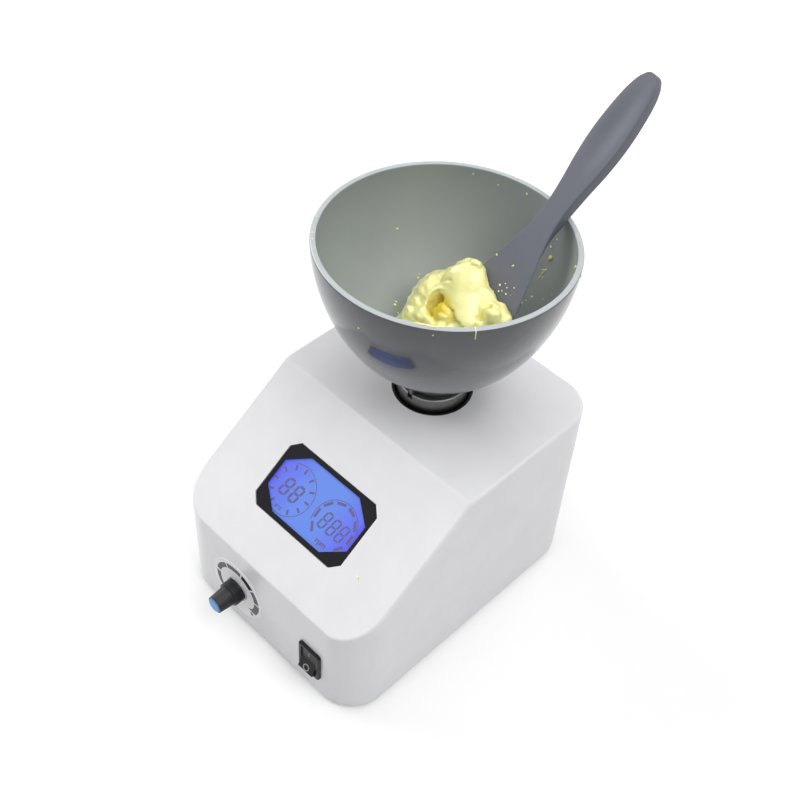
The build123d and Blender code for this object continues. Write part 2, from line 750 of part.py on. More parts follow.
def make_inlet():
    """The three-pin mains inlet: flange, shrouded socket and its pins, which carry on as tags."""
    place = Pos(-inlet_x, inlet_z)
    flange = extrude(back_plane * place * RectangleRounded(50, 24, 6), amount=3.0)
    flange = chamfer(flange.faces().sort_by(Axis.Y)[-1].edges(), 0.8)
    flange += slab(back_plane, 27, 19.6, -20, 0, -inlet_x, inlet_z)
    mouth = Polyline((-12, -8.2), (12, -8.2), (12, 4.4), (8.2, 8.2), (-8.2, 8.2), (-12, 4.4), close=True)
    flange -= extrude(back_plane.offset(-15) * place * make_face(mouth), amount=20)
    for side in (-20, 20):
        flange -= disc(back_plane, 1.6, -1, 4, -inlet_x + side, inlet_z)
    pins = []
    for x, y in ((-7, -1.0), (0, 3.0), (7, -1.0)):
        flange -= slab(back_plane, 2.0, 4.0, -21, -14, -inlet_x + x, inlet_z + y)
        pins.append(slab(back_plane, 2.0, 4.0, -25, 0.5, -inlet_x + x, inlet_z + y))
    screws = [screw(back_plane.offset(3.0), -inlet_x + side, inlet_z, 1.5, 8, 2.8, 1.7) for side in (-20, 20)]
    nuts = []
    for side in (-20, 20):
        hexagon = back_plane.offset(-shell_wall - 2.2) * Pos(-inlet_x + side, inlet_z) * RegularPolygon(3.1, 6)
        nut = extrude(hexagon, amount=2.2)
        nuts.append(nut - disc(back_plane, 1.5, -9, 0, -inlet_x + side, inlet_z))
    return flange, pins, screws, nuts


def make_motor():
    """The motor: its steel can, its plastic end cap with two tags, and its shaft."""
    top = deck_under
    low = top - motor_length
    can = rod(motor_radius, low + 5, top, motor_x, motor_y)
    can = fillet(can.edges().sort_by(Axis.Z)[-1], 1.5)
    can += rod(6.0, top, deck_top + 1.0, motor_x, motor_y)
    for x, y in motor_places():
        can -= rod(1.5, top - 5, top + 1, x, y)
    cap = rod(motor_radius - 0.8, low, low + 5, motor_x, motor_y)
    cap += rod(5.0, low - 2.5, low, motor_x, motor_y)
    can -= rod(motor_shaft_radius + fit, low, deck_top + 2, motor_x, motor_y)
    cap -= rod(motor_shaft_radius + fit, low - 1.5, low + 6, motor_x, motor_y)
    tags = [slab(Plane.XY, 0.8, 3.2, low - 6, low, motor_x + side * 11, motor_y) for side in (-1, 1)]
    shaft = rod(motor_shaft_radius, low - 1.2, pulley_z + pulley_height + 1, motor_x, motor_y)
    return can, cap, tags, shaft


def make_transformer():
    """A laminated core and the winding round its middle leg."""
    width = 50.0
    height = 42.0
    thick = 22.0
    low = plate_top
    middle = low + height / 2
    core = Pos(transformer_x, transformer_y, middle) * Box(thick, width, height)
    for side in (-1, 1):
        core -= Pos(transformer_x, transformer_y + side * 12.5, middle) * Box(thick + 2, 8.4, 25)
    coil = Pos(transformer_x, transformer_y, middle) * Box(31, 33, 24.4)
    coil = fillet(coil.edges().filter_by(Axis.Z), 3.5)
    coil -= Pos(transformer_x, transformer_y, middle) * Box(thick + 0.2, 16.8, 26)
    for side in (-1, 1):
        coil -= Pos(transformer_x, transformer_y + side * 21.7, middle) * Box(thick + 0.2, 10.0, 26)
    return core, coil


def make_transformer_strap():
    """A steel strap over the core, with a foot at each end."""
    wall = 1.2
    low = plate_top
    high = low + 42.0
    inner = 25.0
    outer = inner + wall
    foot = outer + 9
    half = [(foot, low), (foot, low + wall), (outer, low + wall), (outer, high + wall)]
    back = [(inner, high), (inner, low)]
    left = [(-x, z) for x, z in reversed(half)]
    points = half + left + [(-x, z) for x, z in reversed(back)] + back
    section = Plane.YZ * make_face(Polyline(*points, close=True))
    strap = Pos(transformer_x, transformer_y, 0) * extrude(section, amount=7, both=True)
    for x, y in transformer_places():
        strap -= rod(1.5, low - 1, low + 3, x, y)
    return strap


def make_control_board():
    """The printed board with what is soldered to it."""
    top = board_z + board_thick
    board = Pos(0, board_y, board_z + board_thick / 2) * Box(board_width, board_depth, board_thick)
    for x, y in board_places():
        board -= rod(1.6, board_z - 1, top + 1, x, y)
    board += Pos(-4, board_y - 8, top + 2) * Box(17, 7, 4)
    for x in (-4, 2, 8):
        board += Pos(x - 20, board_y + 9, top + 3) * Box(4, 3, 6)
    return board


def make_relay():
    """The relay that switches the motor, a sealed plastic box."""
    box = Pos(10, board_y + 5, board_z + board_thick + 6.5) * Box(16, 12, 13)
    return chamfer(box.edges().group_by(Axis.Z)[-1], 0.5)


def make_heat_sink():
    """A finned aluminium block with the power transistor's tab against it."""
    top = board_z + board_thick
    sink = Pos(-28, board_y - 3, top + 11) * Box(20, 3, 22)
    for fin in range(6):
        sink += Pos(-37 + 3.6 * fin, board_y + 1.5, top + 11) * Box(1.2, 8, 22)
    return sink


def make_capacitors():
    top = board_z + board_thick
    cans = []
    for x in (26, 38):
        can = rod(5.0, top, top + 20, x, board_y - 7)
        cans.append(fillet(can.edges().sort_by(Axis.Z)[-1], 0.8))
    return cans


def make_terminal_block():
    """A row of four screw terminals along the board's edge."""
    top = board_z + board_thick
    block = Pos(31, board_y + 10, top + 5) * Box(20, 8, 10)
    for way in range(4):
        x = 23.5 + 5 * way
        block -= rod(1.6, top + 6, top + 12, x, board_y + 10)
        block -= Pos(x, board_y + 13, top + 3.5) * Box(3, 4, 3.4)
    return block


def make_standoffs():
    posts = []
    for x, y in board_places():
        post = extrude(Plane.XY.offset(plate_top) * Pos(x, y) * RegularPolygon(3.2, 6), amount=board_z - plate_top)
        posts.append(post - rod(1.5, plate_top - 1, board_z + 1, x, y))
    return posts


def make_chassis_nuts():
    nuts = []
    for x, y in chassis_places():
        low = plate_top + deck_thick
        nut = extrude(Plane.XY.offset(low) * Pos(x, y) * RegularPolygon(4.0, 6), amount=3.0)
        nuts.append(nut - rod(2.0, low - 1, low + 4, x, y))
    return nuts


def build_all():
    """Every node of the mixer: one solid, or a list of separate solids for a set of fasteners."""
    bezel, glass, light, display_board, display_screws = make_display()
    switch_body, switch_blades = make_switch()
    inlet, inlet_pins, inlet_screws, inlet_nuts = make_inlet()
    can, cap, tags, motor_shaft = make_motor()
    core, coil = make_transformer()
    return {
        "housing_shell": make_housing(),
        "base_plate": make_base_plate(),
        "rubber_feet": make_feet(),
        "foot_screws": upward_screws(foot_places(), 2.2, 1.5, 6.0, 2.9, 1.6),
        "housing_screws": upward_screws(corner_posts(), plate_z, 1.2, 10.0, 2.7, 1.8),
        "chassis_bridge": make_chassis(),
        "chassis_screws": upward_screws(chassis_places(), plate_z, 2.0, 8.0, 3.6, 2.2),
        "chassis_nuts": make_chassis_nuts(),
        "bearing_housing": make_bearing_housing(),
        "flange_screws": downward_screws(flange_places(), deck_top, 1.3, 6.5, 2.8, 1.8),
        "bearing_outer_rings": make_bearing_outer(),
        "bearing_inner_rings": make_bearing_inner(),
        "spindle": make_spindle(),
        "spindle_circlip": make_circlip(),
        "spindle_pulley": make_spindle_pulley(),
        "motor_pulley": make_motor_pulley(),
        "drive_belt": make_belt(),
        "drive_cup": make_drive_cup(),
        "cup_grub_screw": make_cup_grub_screw(),
        "splash_ring": make_splash_ring(),
        "motor_can": can,
        "motor_end_cap": cap,
        "motor_tags": tags,
        "motor_shaft": motor_shaft,
        "motor_screws": downward_screws(motor_places(), deck_top, 1.4, 6.0, 2.7, 1.8),
        "bowl": make_bowl(),
        "impression_paste": make_paste(),
        "spatula": make_spatula(),
        "display_bezel": bezel,
        "display_glass": glass,
        "display_backlight": light,
        "display_board": display_board,
        "display_screws": display_screws,
        "dial_plate": make_dial_plate(),
        "speed_potentiometer": make_pot(),
        "pot_washer": make_pot_washer(),
        "pot_nut": make_pot_nut(),
        "pot_shaft": make_pot_shaft(),
        "speed_knob": make_knob(),
        "knob_cap": make_knob_cap(),
        "switch_body": switch_body,
        "switch_blades": switch_blades,
        "switch_rocker": make_rocker(),
        "mains_inlet": inlet,
        "inlet_pins": inlet_pins,
        "inlet_screws": inlet_screws,
        "inlet_nuts": inlet_nuts,
        "transformer_core": core,
        "transformer_coil": coil,
        "transformer_strap": make_transformer_strap(),
        "control_board": make_control_board(),
        "heat_sink": make_heat_sink(),
        "capacitors": make_capacitors(),
        "motor_relay": make_relay(),
        "terminal_block": make_terminal_block(),
        "board_standoffs": make_standoffs(),
        "board_screws": downward_screws(board_places(), board_z + board_thick, 1.4, 6.0, 2.7, 1.8),
        "strap_screws": upward_screws(transformer_places(), plate_z, 1.5, 6.0, 2.7, 1.8),
    }


os.makedirs("parts", exist_ok=True)
for node, made in build_all().items():
    solids = made if isinstance(made, list) else [made]
    pieces = [solid for piece in solids for solid in piece.solids()]
    body = pieces[0] if len(pieces) == 1 else Compound(children=pieces)
    export_step(body, f"parts/{node}.step")
    print(node, len(pieces), round(sum(p.volume for p in pieces)))
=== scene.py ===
import json
import math
import random

import bmesh
import bpy
import numpy as np
from mathutils import Matrix, Vector, noise


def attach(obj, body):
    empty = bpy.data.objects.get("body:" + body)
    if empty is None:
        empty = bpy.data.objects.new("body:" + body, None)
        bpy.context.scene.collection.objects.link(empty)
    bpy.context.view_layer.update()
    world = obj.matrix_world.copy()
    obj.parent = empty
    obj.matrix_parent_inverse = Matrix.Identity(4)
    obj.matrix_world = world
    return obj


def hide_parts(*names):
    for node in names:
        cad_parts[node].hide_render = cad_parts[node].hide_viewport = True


# Dental impression mixer. Pieces are drawn in millimetres, as in the CAD source, and stored in metres.
mm = 0.001
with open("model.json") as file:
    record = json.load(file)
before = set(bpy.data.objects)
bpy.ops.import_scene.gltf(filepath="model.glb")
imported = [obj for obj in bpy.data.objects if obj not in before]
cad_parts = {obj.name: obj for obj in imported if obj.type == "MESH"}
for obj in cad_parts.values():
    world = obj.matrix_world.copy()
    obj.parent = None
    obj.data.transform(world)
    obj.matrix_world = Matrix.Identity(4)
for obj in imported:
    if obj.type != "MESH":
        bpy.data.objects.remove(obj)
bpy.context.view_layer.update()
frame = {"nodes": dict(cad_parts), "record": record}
nodes = frame["nodes"]
print("frame loaded,", len(nodes), "nodes")


# sRGB 0-255 to linear
def fromScreen(red, green, blue, alpha=1.0):
    values = []
    for value in (red, green, blue):
        share = value / 255
        values.append(share / 12.92 if share <= 0.04045 else ((share + 0.055) / 1.055) ** 2.4)
    return (*values, alpha)


# small mesh helpers

def addPiece(name, points, faces, body, slotName, smoothAngle=35):
    mesh = bpy.data.meshes.new(name)
    mesh.from_pydata([Vector(point) * mm for point in points], [], faces)
    mesh.validate()
    mesh.update()
    for polygon in mesh.polygons:
        polygon.use_smooth = True
    mesh.set_sharp_from_angle(angle=math.radians(smoothAngle))
    piece = bpy.data.objects.new(name, mesh)
    bpy.context.scene.collection.objects.link(piece)
    mesh.materials.append(materials[slotName])
    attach(piece, body)
    return piece


def fixNormals(mesh):
    work = bmesh.new()
    work.from_mesh(mesh)
    bmesh.ops.recalc_face_normals(work, faces=work.faces)
    work.to_mesh(mesh)
    work.free()


# the points and faces of a finished bmesh, each point put in its place
def takeShape(work, place=tuple):
    work.verts.index_update()
    points = [place(vert.co) for vert in work.verts]
    faces = [tuple(vert.index for vert in face.verts) for face in work.faces]
    work.free()
    return points, faces


# four-sided faces between two rows of point numbers, which close into rings or stay open
def stitch(first, second, closed=True):
    pairs = list(zip(first, second))
    following = pairs[1:] + (pairs[:1] if closed else [])
    return [(a, c, d, b) for (a, b), (c, d) in zip(pairs, following)]


# a closed shape through rings of points, capped at both ends
def tubeShape(rings):
    count = len(rings[0])
    points = [point for ring in rings for point in ring]
    faces = []
    for start in range(0, len(points) - count, count):
        faces += stitch(range(start, start + count), range(start + count, start + 2 * count))
    faces.append(tuple(reversed(range(count))))
    faces.append(tuple(range(len(points) - count, len(points))))
    return points, faces


# several (points, faces) lists made into one
def joinShapes(shapes):
    allPoints, allFaces = [], []
    for points, faces in shapes:
        start = len(allPoints)
        allPoints += points
        allFaces += [tuple(index + start for index in face) for face in faces]
    return allPoints, allFaces


def smoothStep(low, high, value):
    share = min(1.0, max(0.0, (value - low) / (high - low)))
    return share * share * (3 - 2 * share)


# a straight-line table of (position, value) pairs
def throughPoints(table, position):
    if position <= table[0][0]:
        return table[0][1]
    for (a, va), (b, vb) in zip(table, table[1:]):
        if position <= b:
            return va + (vb - va) * (position - a) / (b - a)
    return table[-1][1]


def newMaterial(name):
    material = bpy.data.materials.new(name)
    material.use_nodes = True
    return material, material.node_tree, material.node_tree.nodes["Principled BSDF"]


# shader nodes, and groups of them that several finishes use

def newGroup(name, inputs, outputs):
    group = bpy.data.node_groups.new(name, "ShaderNodeTree")
    for kind, socketName, value in inputs:
        socket = group.interface.new_socket(socketName, in_out="INPUT", socket_type=kind)
        socket.default_value = value
    for kind, socketName in outputs:
        group.interface.new_socket(socketName, in_out="OUTPUT", socket_type=kind)
    return group, group.nodes.new("NodeGroupInput"), group.nodes.new("NodeGroupOutput")


def mathNode(tree, operation, first, second=None, clamp=False):
    node = tree.nodes.new("ShaderNodeMath")
    node.operation = operation
    node.use_clamp = clamp
    for index, value in enumerate((first, second)):
        if value is None:
            continue
        if isinstance(value, (int, float)):
            node.inputs[index].default_value = value
        else:
            tree.links.new(value, node.inputs[index])
    return node.outputs[0]


# how far a value is past a start, times a rate
def pastNode(tree, value, start, rate, clamp=False):
    return mathNode(tree, "MULTIPLY", mathNode(tree, "SUBTRACT", value, start), rate, clamp)


def noiseNode(tree, vector, scale, detail=3.0, roughness=0.55):
    node = tree.nodes.new("ShaderNodeTexNoise")
    node.inputs["Detail"].default_value = detail
    node.inputs["Roughness"].default_value = roughness
    tree.links.new(vector, node.inputs["Vector"])
    if isinstance(scale, (int, float)):
        node.inputs["Scale"].default_value = scale
    else:
        tree.links.new(scale, node.inputs["Scale"])
    return node.outputs["Fac"]


def mixColour(tree, share, first, second):
    node = tree.nodes.new("ShaderNodeMix")
    node.data_type = "RGBA"
    for socketName, value in (("Factor", share), ("A", first), ("B", second)):
        if isinstance(value, tuple):
            node.inputs[socketName].default_value = value
        else:
            tree.links.new(value, node.inputs[socketName])
    return node.outputs["Result"]


# a value that runs from one to the other with the distance from a spot on the piece
def fadeOver(tree, centre, reach, values):
    distance = tree.nodes.new("ShaderNodeVectorMath")
    distance.operation = "DISTANCE"
    distance.inputs[1].default_value = centre
    tree.links.new(tree.nodes.new("ShaderNodeTexCoord").outputs["Object"], distance.inputs[0])
    fade = tree.nodes.new("ShaderNodeMapRange")
    fade.interpolation_type = "SMOOTHSTEP"
    for socketName, value in zip(("From Min", "From Max", "To Min", "To Max"), reach + values):
        fade.inputs[socketName].default_value = value
    tree.links.new(distance.outputs["Value"], fade.inputs["Value"])
    return fade.outputs["Result"]


# fine moulded grain with a slow waviness under it
def makeGrainGroup():
    group, enter, leave = newGroup(
        "mouldedGrain",
        [("NodeSocketFloat", "Scale", 900.0), ("NodeSocketFloat", "Waviness", 0.4)],
        [("NodeSocketFloat", "Height")],
    )
    place = group.nodes.new("ShaderNodeTexCoord").outputs["Object"]
    fine = noiseNode(group, place, enter.outputs["Scale"], 2.0)
    slow = noiseNode(group, place, mathNode(group, "MULTIPLY", enter.outputs["Scale"], 0.045), 1.0)
    slow = mathNode(group, "MULTIPLY", slow, enter.outputs["Waviness"])
    total = mathNode(group, "ADD", fine, slow)
    group.links.new(total, leave.inputs["Height"])
    return group


# lines drawn along one axis, for rolled, turned or brushed metal
def makeLinesGroup():
    group, enter, leave = newGroup(
        "drawnLines",
        [
            ("NodeSocketFloat", "Scale", 700.0),
            ("NodeSocketVector", "Stretch", (1.0, 1.0, 14.0)),
            ("NodeSocketFloat", "Base", 0.3),
            ("NodeSocketFloat", "Spread", 0.12),
        ],
        [("NodeSocketFloat", "Height"), ("NodeSocketFloat", "Roughness")],
    )
    place = group.nodes.new("ShaderNodeTexCoord").outputs["Object"]
    stretch = group.nodes.new("ShaderNodeVectorMath")
    stretch.operation = "MULTIPLY"
    group.links.new(place, stretch.inputs[0])
    group.links.new(enter.outputs["Stretch"], stretch.inputs[1])
    lines = noiseNode(group, stretch.outputs[0], enter.outputs["Scale"], 2.0, 0.6)
    spread = pastNode(group, lines, 0.5, enter.outputs["Spread"])
    group.links.new(lines, leave.inputs["Height"])
    group.links.new(mathNode(group, "ADD", enter.outputs["Base"], spread, True), leave.inputs["Roughness"])
    return group


# colour that drifts a little over the surface, and a matching roughness
def makeDriftGroup():
    group, enter, leave = newGroup(
        "colourDrift",
        [
            ("NodeSocketColor", "Colour", (0.5, 0.5, 0.5, 1)),
            ("NodeSocketFloat", "Amount", 0.05),
            ("NodeSocketFloat", "Scale", 40.0),
            ("NodeSocketFloat", "Base", 0.4),
            ("NodeSocketFloat", "Spread", 0.1),
        ],
        [("NodeSocketColor", "Colour"), ("NodeSocketFloat", "Roughness")],
    )
    place = group.nodes.new("ShaderNodeTexCoord").outputs["Object"]
    drift = mathNode(group, "SUBTRACT", noiseNode(group, place, enter.outputs["Scale"], 4.0), 0.5)
    gain = mathNode(group, "ADD", mathNode(group, "MULTIPLY", drift, enter.outputs["Amount"]), 1.0)
    tint = group.nodes.new("ShaderNodeVectorMath")
    tint.operation = "SCALE"
    group.links.new(enter.outputs["Colour"], tint.inputs[0])
    group.links.new(gain, tint.inputs["Scale"])
    group.links.new(tint.outputs[0], leave.inputs["Colour"])
    smudge = mathNode(group, "MULTIPLY", drift, enter.outputs["Spread"])
    group.links.new(mathNode(group, "ADD", enter.outputs["Base"], smudge, True), leave.inputs["Roughness"])
    return group


grainGroup = makeGrainGroup()
linesGroup = makeLinesGroup()
driftGroup = makeDriftGroup()

# finishes, one for each of the record's material slots

# drawn and turned metals: colour, roughness and how their drawn lines stretch
metals = {
    "plate_steel": ((178, 180, 184), 0.38, (1, 18, 1)),
    "fastener_steel": ((196, 198, 202), 0.26, (1, 1, 9)),
    "chassis_steel": ((184, 186, 190), 0.40, (18, 1, 1)),
    "bearing_steel": ((206, 208, 212), 0.18, (1, 1, 16)),
    "spindle_steel": ((190, 192, 196), 0.22, (1, 1, 20)),
    "pulley_metal": ((190, 191, 194), 0.30, (1, 1, 20)),
    "cup_metal": ((132, 131, 131), 0.30, (1, 1, 22)),
    "motor_metal": ((90, 92, 98), 0.42, (1, 1, 18)),
    "terminal_brass": ((206, 176, 104), 0.30, (1, 1, 12)),
    "pot_metal": ((172, 173, 177), 0.36, (1, 14, 1)),
    "nut_metal": ((168, 169, 173), 0.32, (1, 14, 1)),
    "core_steel": ((98, 98, 102), 0.55, (26, 1, 1)),
    "sink_metal": ((186, 188, 192), 0.40, (1, 1, 14)),
}
# moulded and painted pieces: colour, roughness, grain, bump and what else they need
moulded = {
    "housing_white": ((240, 240, 243), 0.34, 1500, 0.02, {"spread": 0.10, "coat": 0.12}),
    "foot_rubber": ((34, 34, 36), 0.78, 900, 0.25, {"powder": 0.2}),
    "bearing_cast": ((160, 162, 166), 0.52, 700, 0.35, {"metal": 1}),
    "belt_rubber": ((38, 38, 41), 0.70, 1100, 0.22, {}),
    "ring_black": ((13, 13, 15), 0.50, 1200, 0.10, {"shine": 0.2}),
    "cap_plastic": ((44, 44, 47), 0.55, 1000, 0.15, {}),
    "bowl_rubber": ((64, 67, 72), 0.22, 700, 0.02, {"spread": 0.06, "coat": 0.5, "coatRough": 0.05}),
    # the bowl's satin inside, its bare rim and its foot, on the same piece as its glossy outside; the inside and rim
    # are lighter copies of the same rubber, painted light where they face up to the lamps
    "bowl_inner_painted_light": ((161, 167, 166), 0.38, 620, 0.03, {"spread": 0.14, "coat": 0.3}),
    "bowl_rim_painted_light": ((184, 190, 193), 0.34, 900, 0.03, {"spread": 0.12, "coat": 0.2}),
    # the foot and lugs: the same rubber painted lighter, painted fill light in the shade under the bowl
    "bowl_boss_painted_light": ((122, 124, 127), 0.45, 700, 0.03, {"spread": 0.06}),
    "paste_yellow": ((253, 248, 168), 0.32, 420, 0.12, {
        "spread": 0.2, "under": 0.16, "coat": 0.6, "coatRough": 0.18,
        # painted shade: a deeper, darker yellow in the torn hollow, fading out with distance from its centre
        "hollow": {"centre": (0.001, 0.0155, 0.1675), "reach": (0.004, 0.0105), "colour": (232, 210, 44)}}),
    "spatula_grey": ((108, 110, 121), 0.52, 1000, 0.04, {"spread": 0.10, "shine": 0.3}),
    "bezel_black": ((22, 22, 27), 0.36, 1500, 0.03, {"shine": 0.15}),
    "display_blue": ((88, 120, 232), 0.4, 1500, 0.01, {}),
    "circuit_green": ((36, 104, 62), 0.42, 1300, 0.12, {}),
    "dial_white": ((252, 252, 252), 0.46, 1500, 0.03, {}),
    "knob_black": ((17, 17, 20), 0.34, 1400, 0.05, {"spread": 0.12, "shine": 0.35}),
    "cap_blue": ((86, 156, 224), 0.36, 1500, 0.04, {}),
    "switch_black": ((19, 19, 22), 0.38, 1400, 0.05, {"spread": 0.12, "shine": 0.25}),
    "inlet_black": ((34, 34, 37), 0.46, 1200, 0.12, {}),
    "coil_wrap": ((206, 176, 84), 0.40, 500, 0.15, {}),
    "capacitor_sleeve": ((42, 50, 92), 0.25, 1200, 0.04, {"coat": 0.3}),
    "relay_blue": ((56, 96, 168), 0.30, 1200, 0.05, {}),
    "block_green": ((76, 142, 92), 0.38, 1200, 0.08, {}),
}
# what a finish has where its own entry says nothing else, and what every drawn metal has
usual = {"metal": 0, "spread": 0.08, "drift": 0.10, "driftScale": 55, "bumpDistance": 0.0004, "coatRough": 0.12}
drawn = {"metal": 1, "lineSpread": 0.22, "bump": 0.12}


def placeGroup(tree, group, values):
    node = tree.nodes.new("ShaderNodeGroup")
    node.node_tree = group
    for socketName, value in values.items():
        node.inputs[socketName].default_value = value
    return node


# fine powder that settles on faces that look up
powder = {"colour": (0.78, 0.77, 0.72, 1), "specks": (420.0, 5.0, 0.7), "clouds": (35.0, 3.0), "rougher": 0.6}


def addPowder(tree, amount, colour, rough):
    place = tree.nodes.new("ShaderNodeTexCoord").outputs["Object"]
    split = tree.nodes.new("ShaderNodeSeparateXYZ")
    tree.links.new(tree.nodes.new("ShaderNodeNewGeometry").outputs["Normal"], split.inputs[0])
    upward = mathNode(tree, "MULTIPLY", split.outputs["Z"], 1.0, True)
    specks = pastNode(tree, noiseNode(tree, place, *powder["specks"]), 0.42, 5.0, True)
    clouds = pastNode(tree, noiseNode(tree, place, *powder["clouds"]), 0.3, 2.5, True)
    mask = mathNode(tree, "MULTIPLY", mathNode(tree, "MULTIPLY", specks, clouds), upward)
    mask = mathNode(tree, "MULTIPLY", mask, amount, True)
    rougher = mathNode(tree, "MULTIPLY", mask, powder["rougher"])
    return mixColour(tree, mask, colour, powder["colour"]), mathNode(tree, "ADD", rough, rougher, True)


def makeFinish(slotName, look):
    look = {**usual, **look}
    material, tree, shader = newMaterial(slotName)
    rough = look["rough"]
    drift = placeGroup(tree, driftGroup, {"Colour": fromScreen(*look["colour"]), "Amount": look["drift"],
                                          "Scale": look["driftScale"], "Base": rough, "Spread": look["spread"]})
    colourOut = drift.outputs["Colour"]
    if "lines" in look:
        values = {"Stretch": look["lines"], "Base": rough, "Spread": look["lineSpread"]}
        texture = placeGroup(tree, linesGroup, values)
        roughOut = texture.outputs["Roughness"]
    else:
        texture = placeGroup(tree, grainGroup, {"Scale": look["grain"], "Waviness": 0.5})
        roughOut = drift.outputs["Roughness"]
    if "powder" in look:
        colourOut, roughOut = addPowder(tree, look["powder"], colourOut, roughOut)
    # painted shade: the colour turns darker yellow towards a spot in a hollow
    if "hollow" in look:
        hollow = look["hollow"]
        inside = fadeOver(tree, hollow["centre"], hollow["reach"], (1.0, 0.0))
        colourOut = mixColour(tree, inside, colourOut, fromScreen(*hollow["colour"]))
    bump = tree.nodes.new("ShaderNodeBump")
    bump.inputs["Strength"].default_value = look["bump"]
    bump.inputs["Distance"].default_value = look["bumpDistance"]
    tree.links.new(texture.outputs["Height"], bump.inputs["Height"])
    tree.links.new(bump.outputs["Normal"], shader.inputs["Normal"])
    tree.links.new(colourOut, shader.inputs["Base Color"])
    tree.links.new(roughOut, shader.inputs["Roughness"])
    shader.inputs["Metallic"].default_value = look["metal"]
    if "coat" in look:
        shader.inputs["Coat Weight"].default_value = look["coat"]
        shader.inputs["Coat Roughness"].default_value = look["coatRough"]
    if "shine" in look:
        shader.inputs["Specular IOR Level"].default_value = look["shine"]
    if "under" in look:
        shader.inputs["Subsurface Weight"].default_value = look["under"]
        shader.inputs["Subsurface Radius"].default_value = (1.0, 0.8, 0.3)
        shader.inputs["Subsurface Scale"].default_value = 0.004
    return material


materials = {}
for name, (colour, rough, lines) in metals.items():
    materials[name] = makeFinish(name, {**drawn, "colour": colour, "rough": rough, "lines": lines})
for name, (colour, rough, grain, bump, more) in moulded.items():
    materials[name] = makeFinish(name, {"colour": colour, "rough": rough, "grain": grain, "bump": bump, **more})


# the display and what it shows, on the sloping face

display = {
    "origin": (0.0, -102.6, 61.0), "rise": 53.0, "run": 76.0, "middle": 44.1,
    "pane": (61.0, 36.6, 4.4), "paneLow": -3.5, "paneHigh": -1.3, "printHigh": 0.04,
    "leftDigits": {"centres": [(-19.3, -2.4), (-12.2, -2.5)], "size": (5.4, 10.4), "stroke": 1.35, "slant": 9},
    "rightDigits": {"centres": [(9.45, -2.8), (15.5, -3.0), (21.3, -2.9)], "size": (4.5, 9.7), "stroke": 1.0,
                    "slant": 9},
    "ticks": {"centre": (-15.9, -2.25), "radius": 11.5, "size": (2.8, 1.15),
              "angles": [148, 118, 88, 58, 28, -2, -30, -60, -120, -150, 180]},
    "dashes": {"centre": (14.9, -2.5), "radius": 11.6, "size": (5.2, 1.5),
               "angles": [216, 180, 144, 108, 72, 36, 0, -36]},
    # centre, radius, stroke, start and end angle
    "circles": [((-15.9, -2.25), 13.7, 0.36, -150, 120), ((14.9, -2.5), 13.2, 0.36, -10, 200)],
    "unit": {"text": "rpm", "centre": (14.9, -12.9), "height": 3.1},
    "timeUnit": {"text": "sec", "centre": (-16.2, -13.0), "height": 2.6},
    # type size and added weight for a letter's height, and how thick the print is
    "letters": {"size": 1.35, "heavier": 0.04, "thick": 0.04},
}
slopeLength = math.hypot(display["run"], display["rise"])
slopeUp = Vector((0, display["run"], display["rise"])) / slopeLength
slopeOut = Vector((0, -display["rise"], display["run"])) / slopeLength


# the lit display: blue in the middle, violet towards its ends and dimmer along its rim
screen = {"middle": (98, 134, 224), "ends": (92, 84, 232), "rim": (64, 52, 190), "glow": 0.2, "rough": 0.3,
          "half": (0.0305, 0.0183), "cloud": 0.5, "endsFade": (0.35, 1.3), "rimFade": (0.84, 5.0), "rimShare": 0.55}


def makeScreenFinish():
    material, tree, shader = newMaterial("display_glass")
    place = tree.nodes.new("ShaderNodeTexCoord").outputs["Object"]
    split = tree.nodes.new("ShaderNodeSeparateXYZ")
    tree.links.new(place, split.inputs[0])
    rise = tree.nodes.new("ShaderNodeVectorMath")
    rise.operation = "DOT_PRODUCT"
    tree.links.new(place, rise.inputs[0])
    rise.inputs[1].default_value = slopeUp
    middle = Vector(display["origin"]) * mm + slopeUp * display["middle"] * mm
    cloud = pastNode(tree, noiseNode(tree, place, 70.0, 2.0), 0.5, screen["cloud"])
    across = mathNode(tree, "ABSOLUTE", mathNode(tree, "DIVIDE", split.outputs["X"], screen["half"][0]))
    upward = mathNode(tree, "SUBTRACT", rise.outputs["Value"], middle.dot(slopeUp))
    upward = mathNode(tree, "ABSOLUTE", mathNode(tree, "DIVIDE", upward, screen["half"][1]))
    ends = mathNode(tree, "ADD", pastNode(tree, across, *screen["endsFade"]), cloud, True)
    edge = mathNode(tree, "ADD", mathNode(tree, "MAXIMUM", across, upward), mathNode(tree, "MULTIPLY", cloud, 0.3))
    edge = mathNode(tree, "MULTIPLY", pastNode(tree, edge, *screen["rimFade"], True), screen["rimShare"])
    colour = mixColour(tree, ends, fromScreen(*screen["middle"]), fromScreen(*screen["ends"]))
    colour = mixColour(tree, edge, colour, fromScreen(*screen["rim"]))
    for socketName in ("Base Color", "Emission Color"):
        tree.links.new(colour, shader.inputs[socketName])
    shader.inputs["Emission Strength"].default_value = screen["glow"]
    shader.inputs["Roughness"].default_value = screen["rough"]
    return material


# printing ink: colour and roughness
inkLooks = {"segmentInk": ((98, 92, 146), 0.4), "dialInk": ((82, 82, 86), 0.5), "dialInkDark": ((26, 26, 30), 0.4),
            "markInk": ((176, 176, 178), 0.5)}


def makeInk(name, colour, rough):
    material, tree, shader = newMaterial(name)
    values = {"Colour": fromScreen(*colour), "Amount": 0.08, "Scale": 160, "Base": rough, "Spread": 0.1}
    drift = placeGroup(tree, driftGroup, values)
    tree.links.new(drift.outputs["Colour"], shader.inputs["Base Color"])
    tree.links.new(drift.outputs["Roughness"], shader.inputs["Roughness"])
    return material


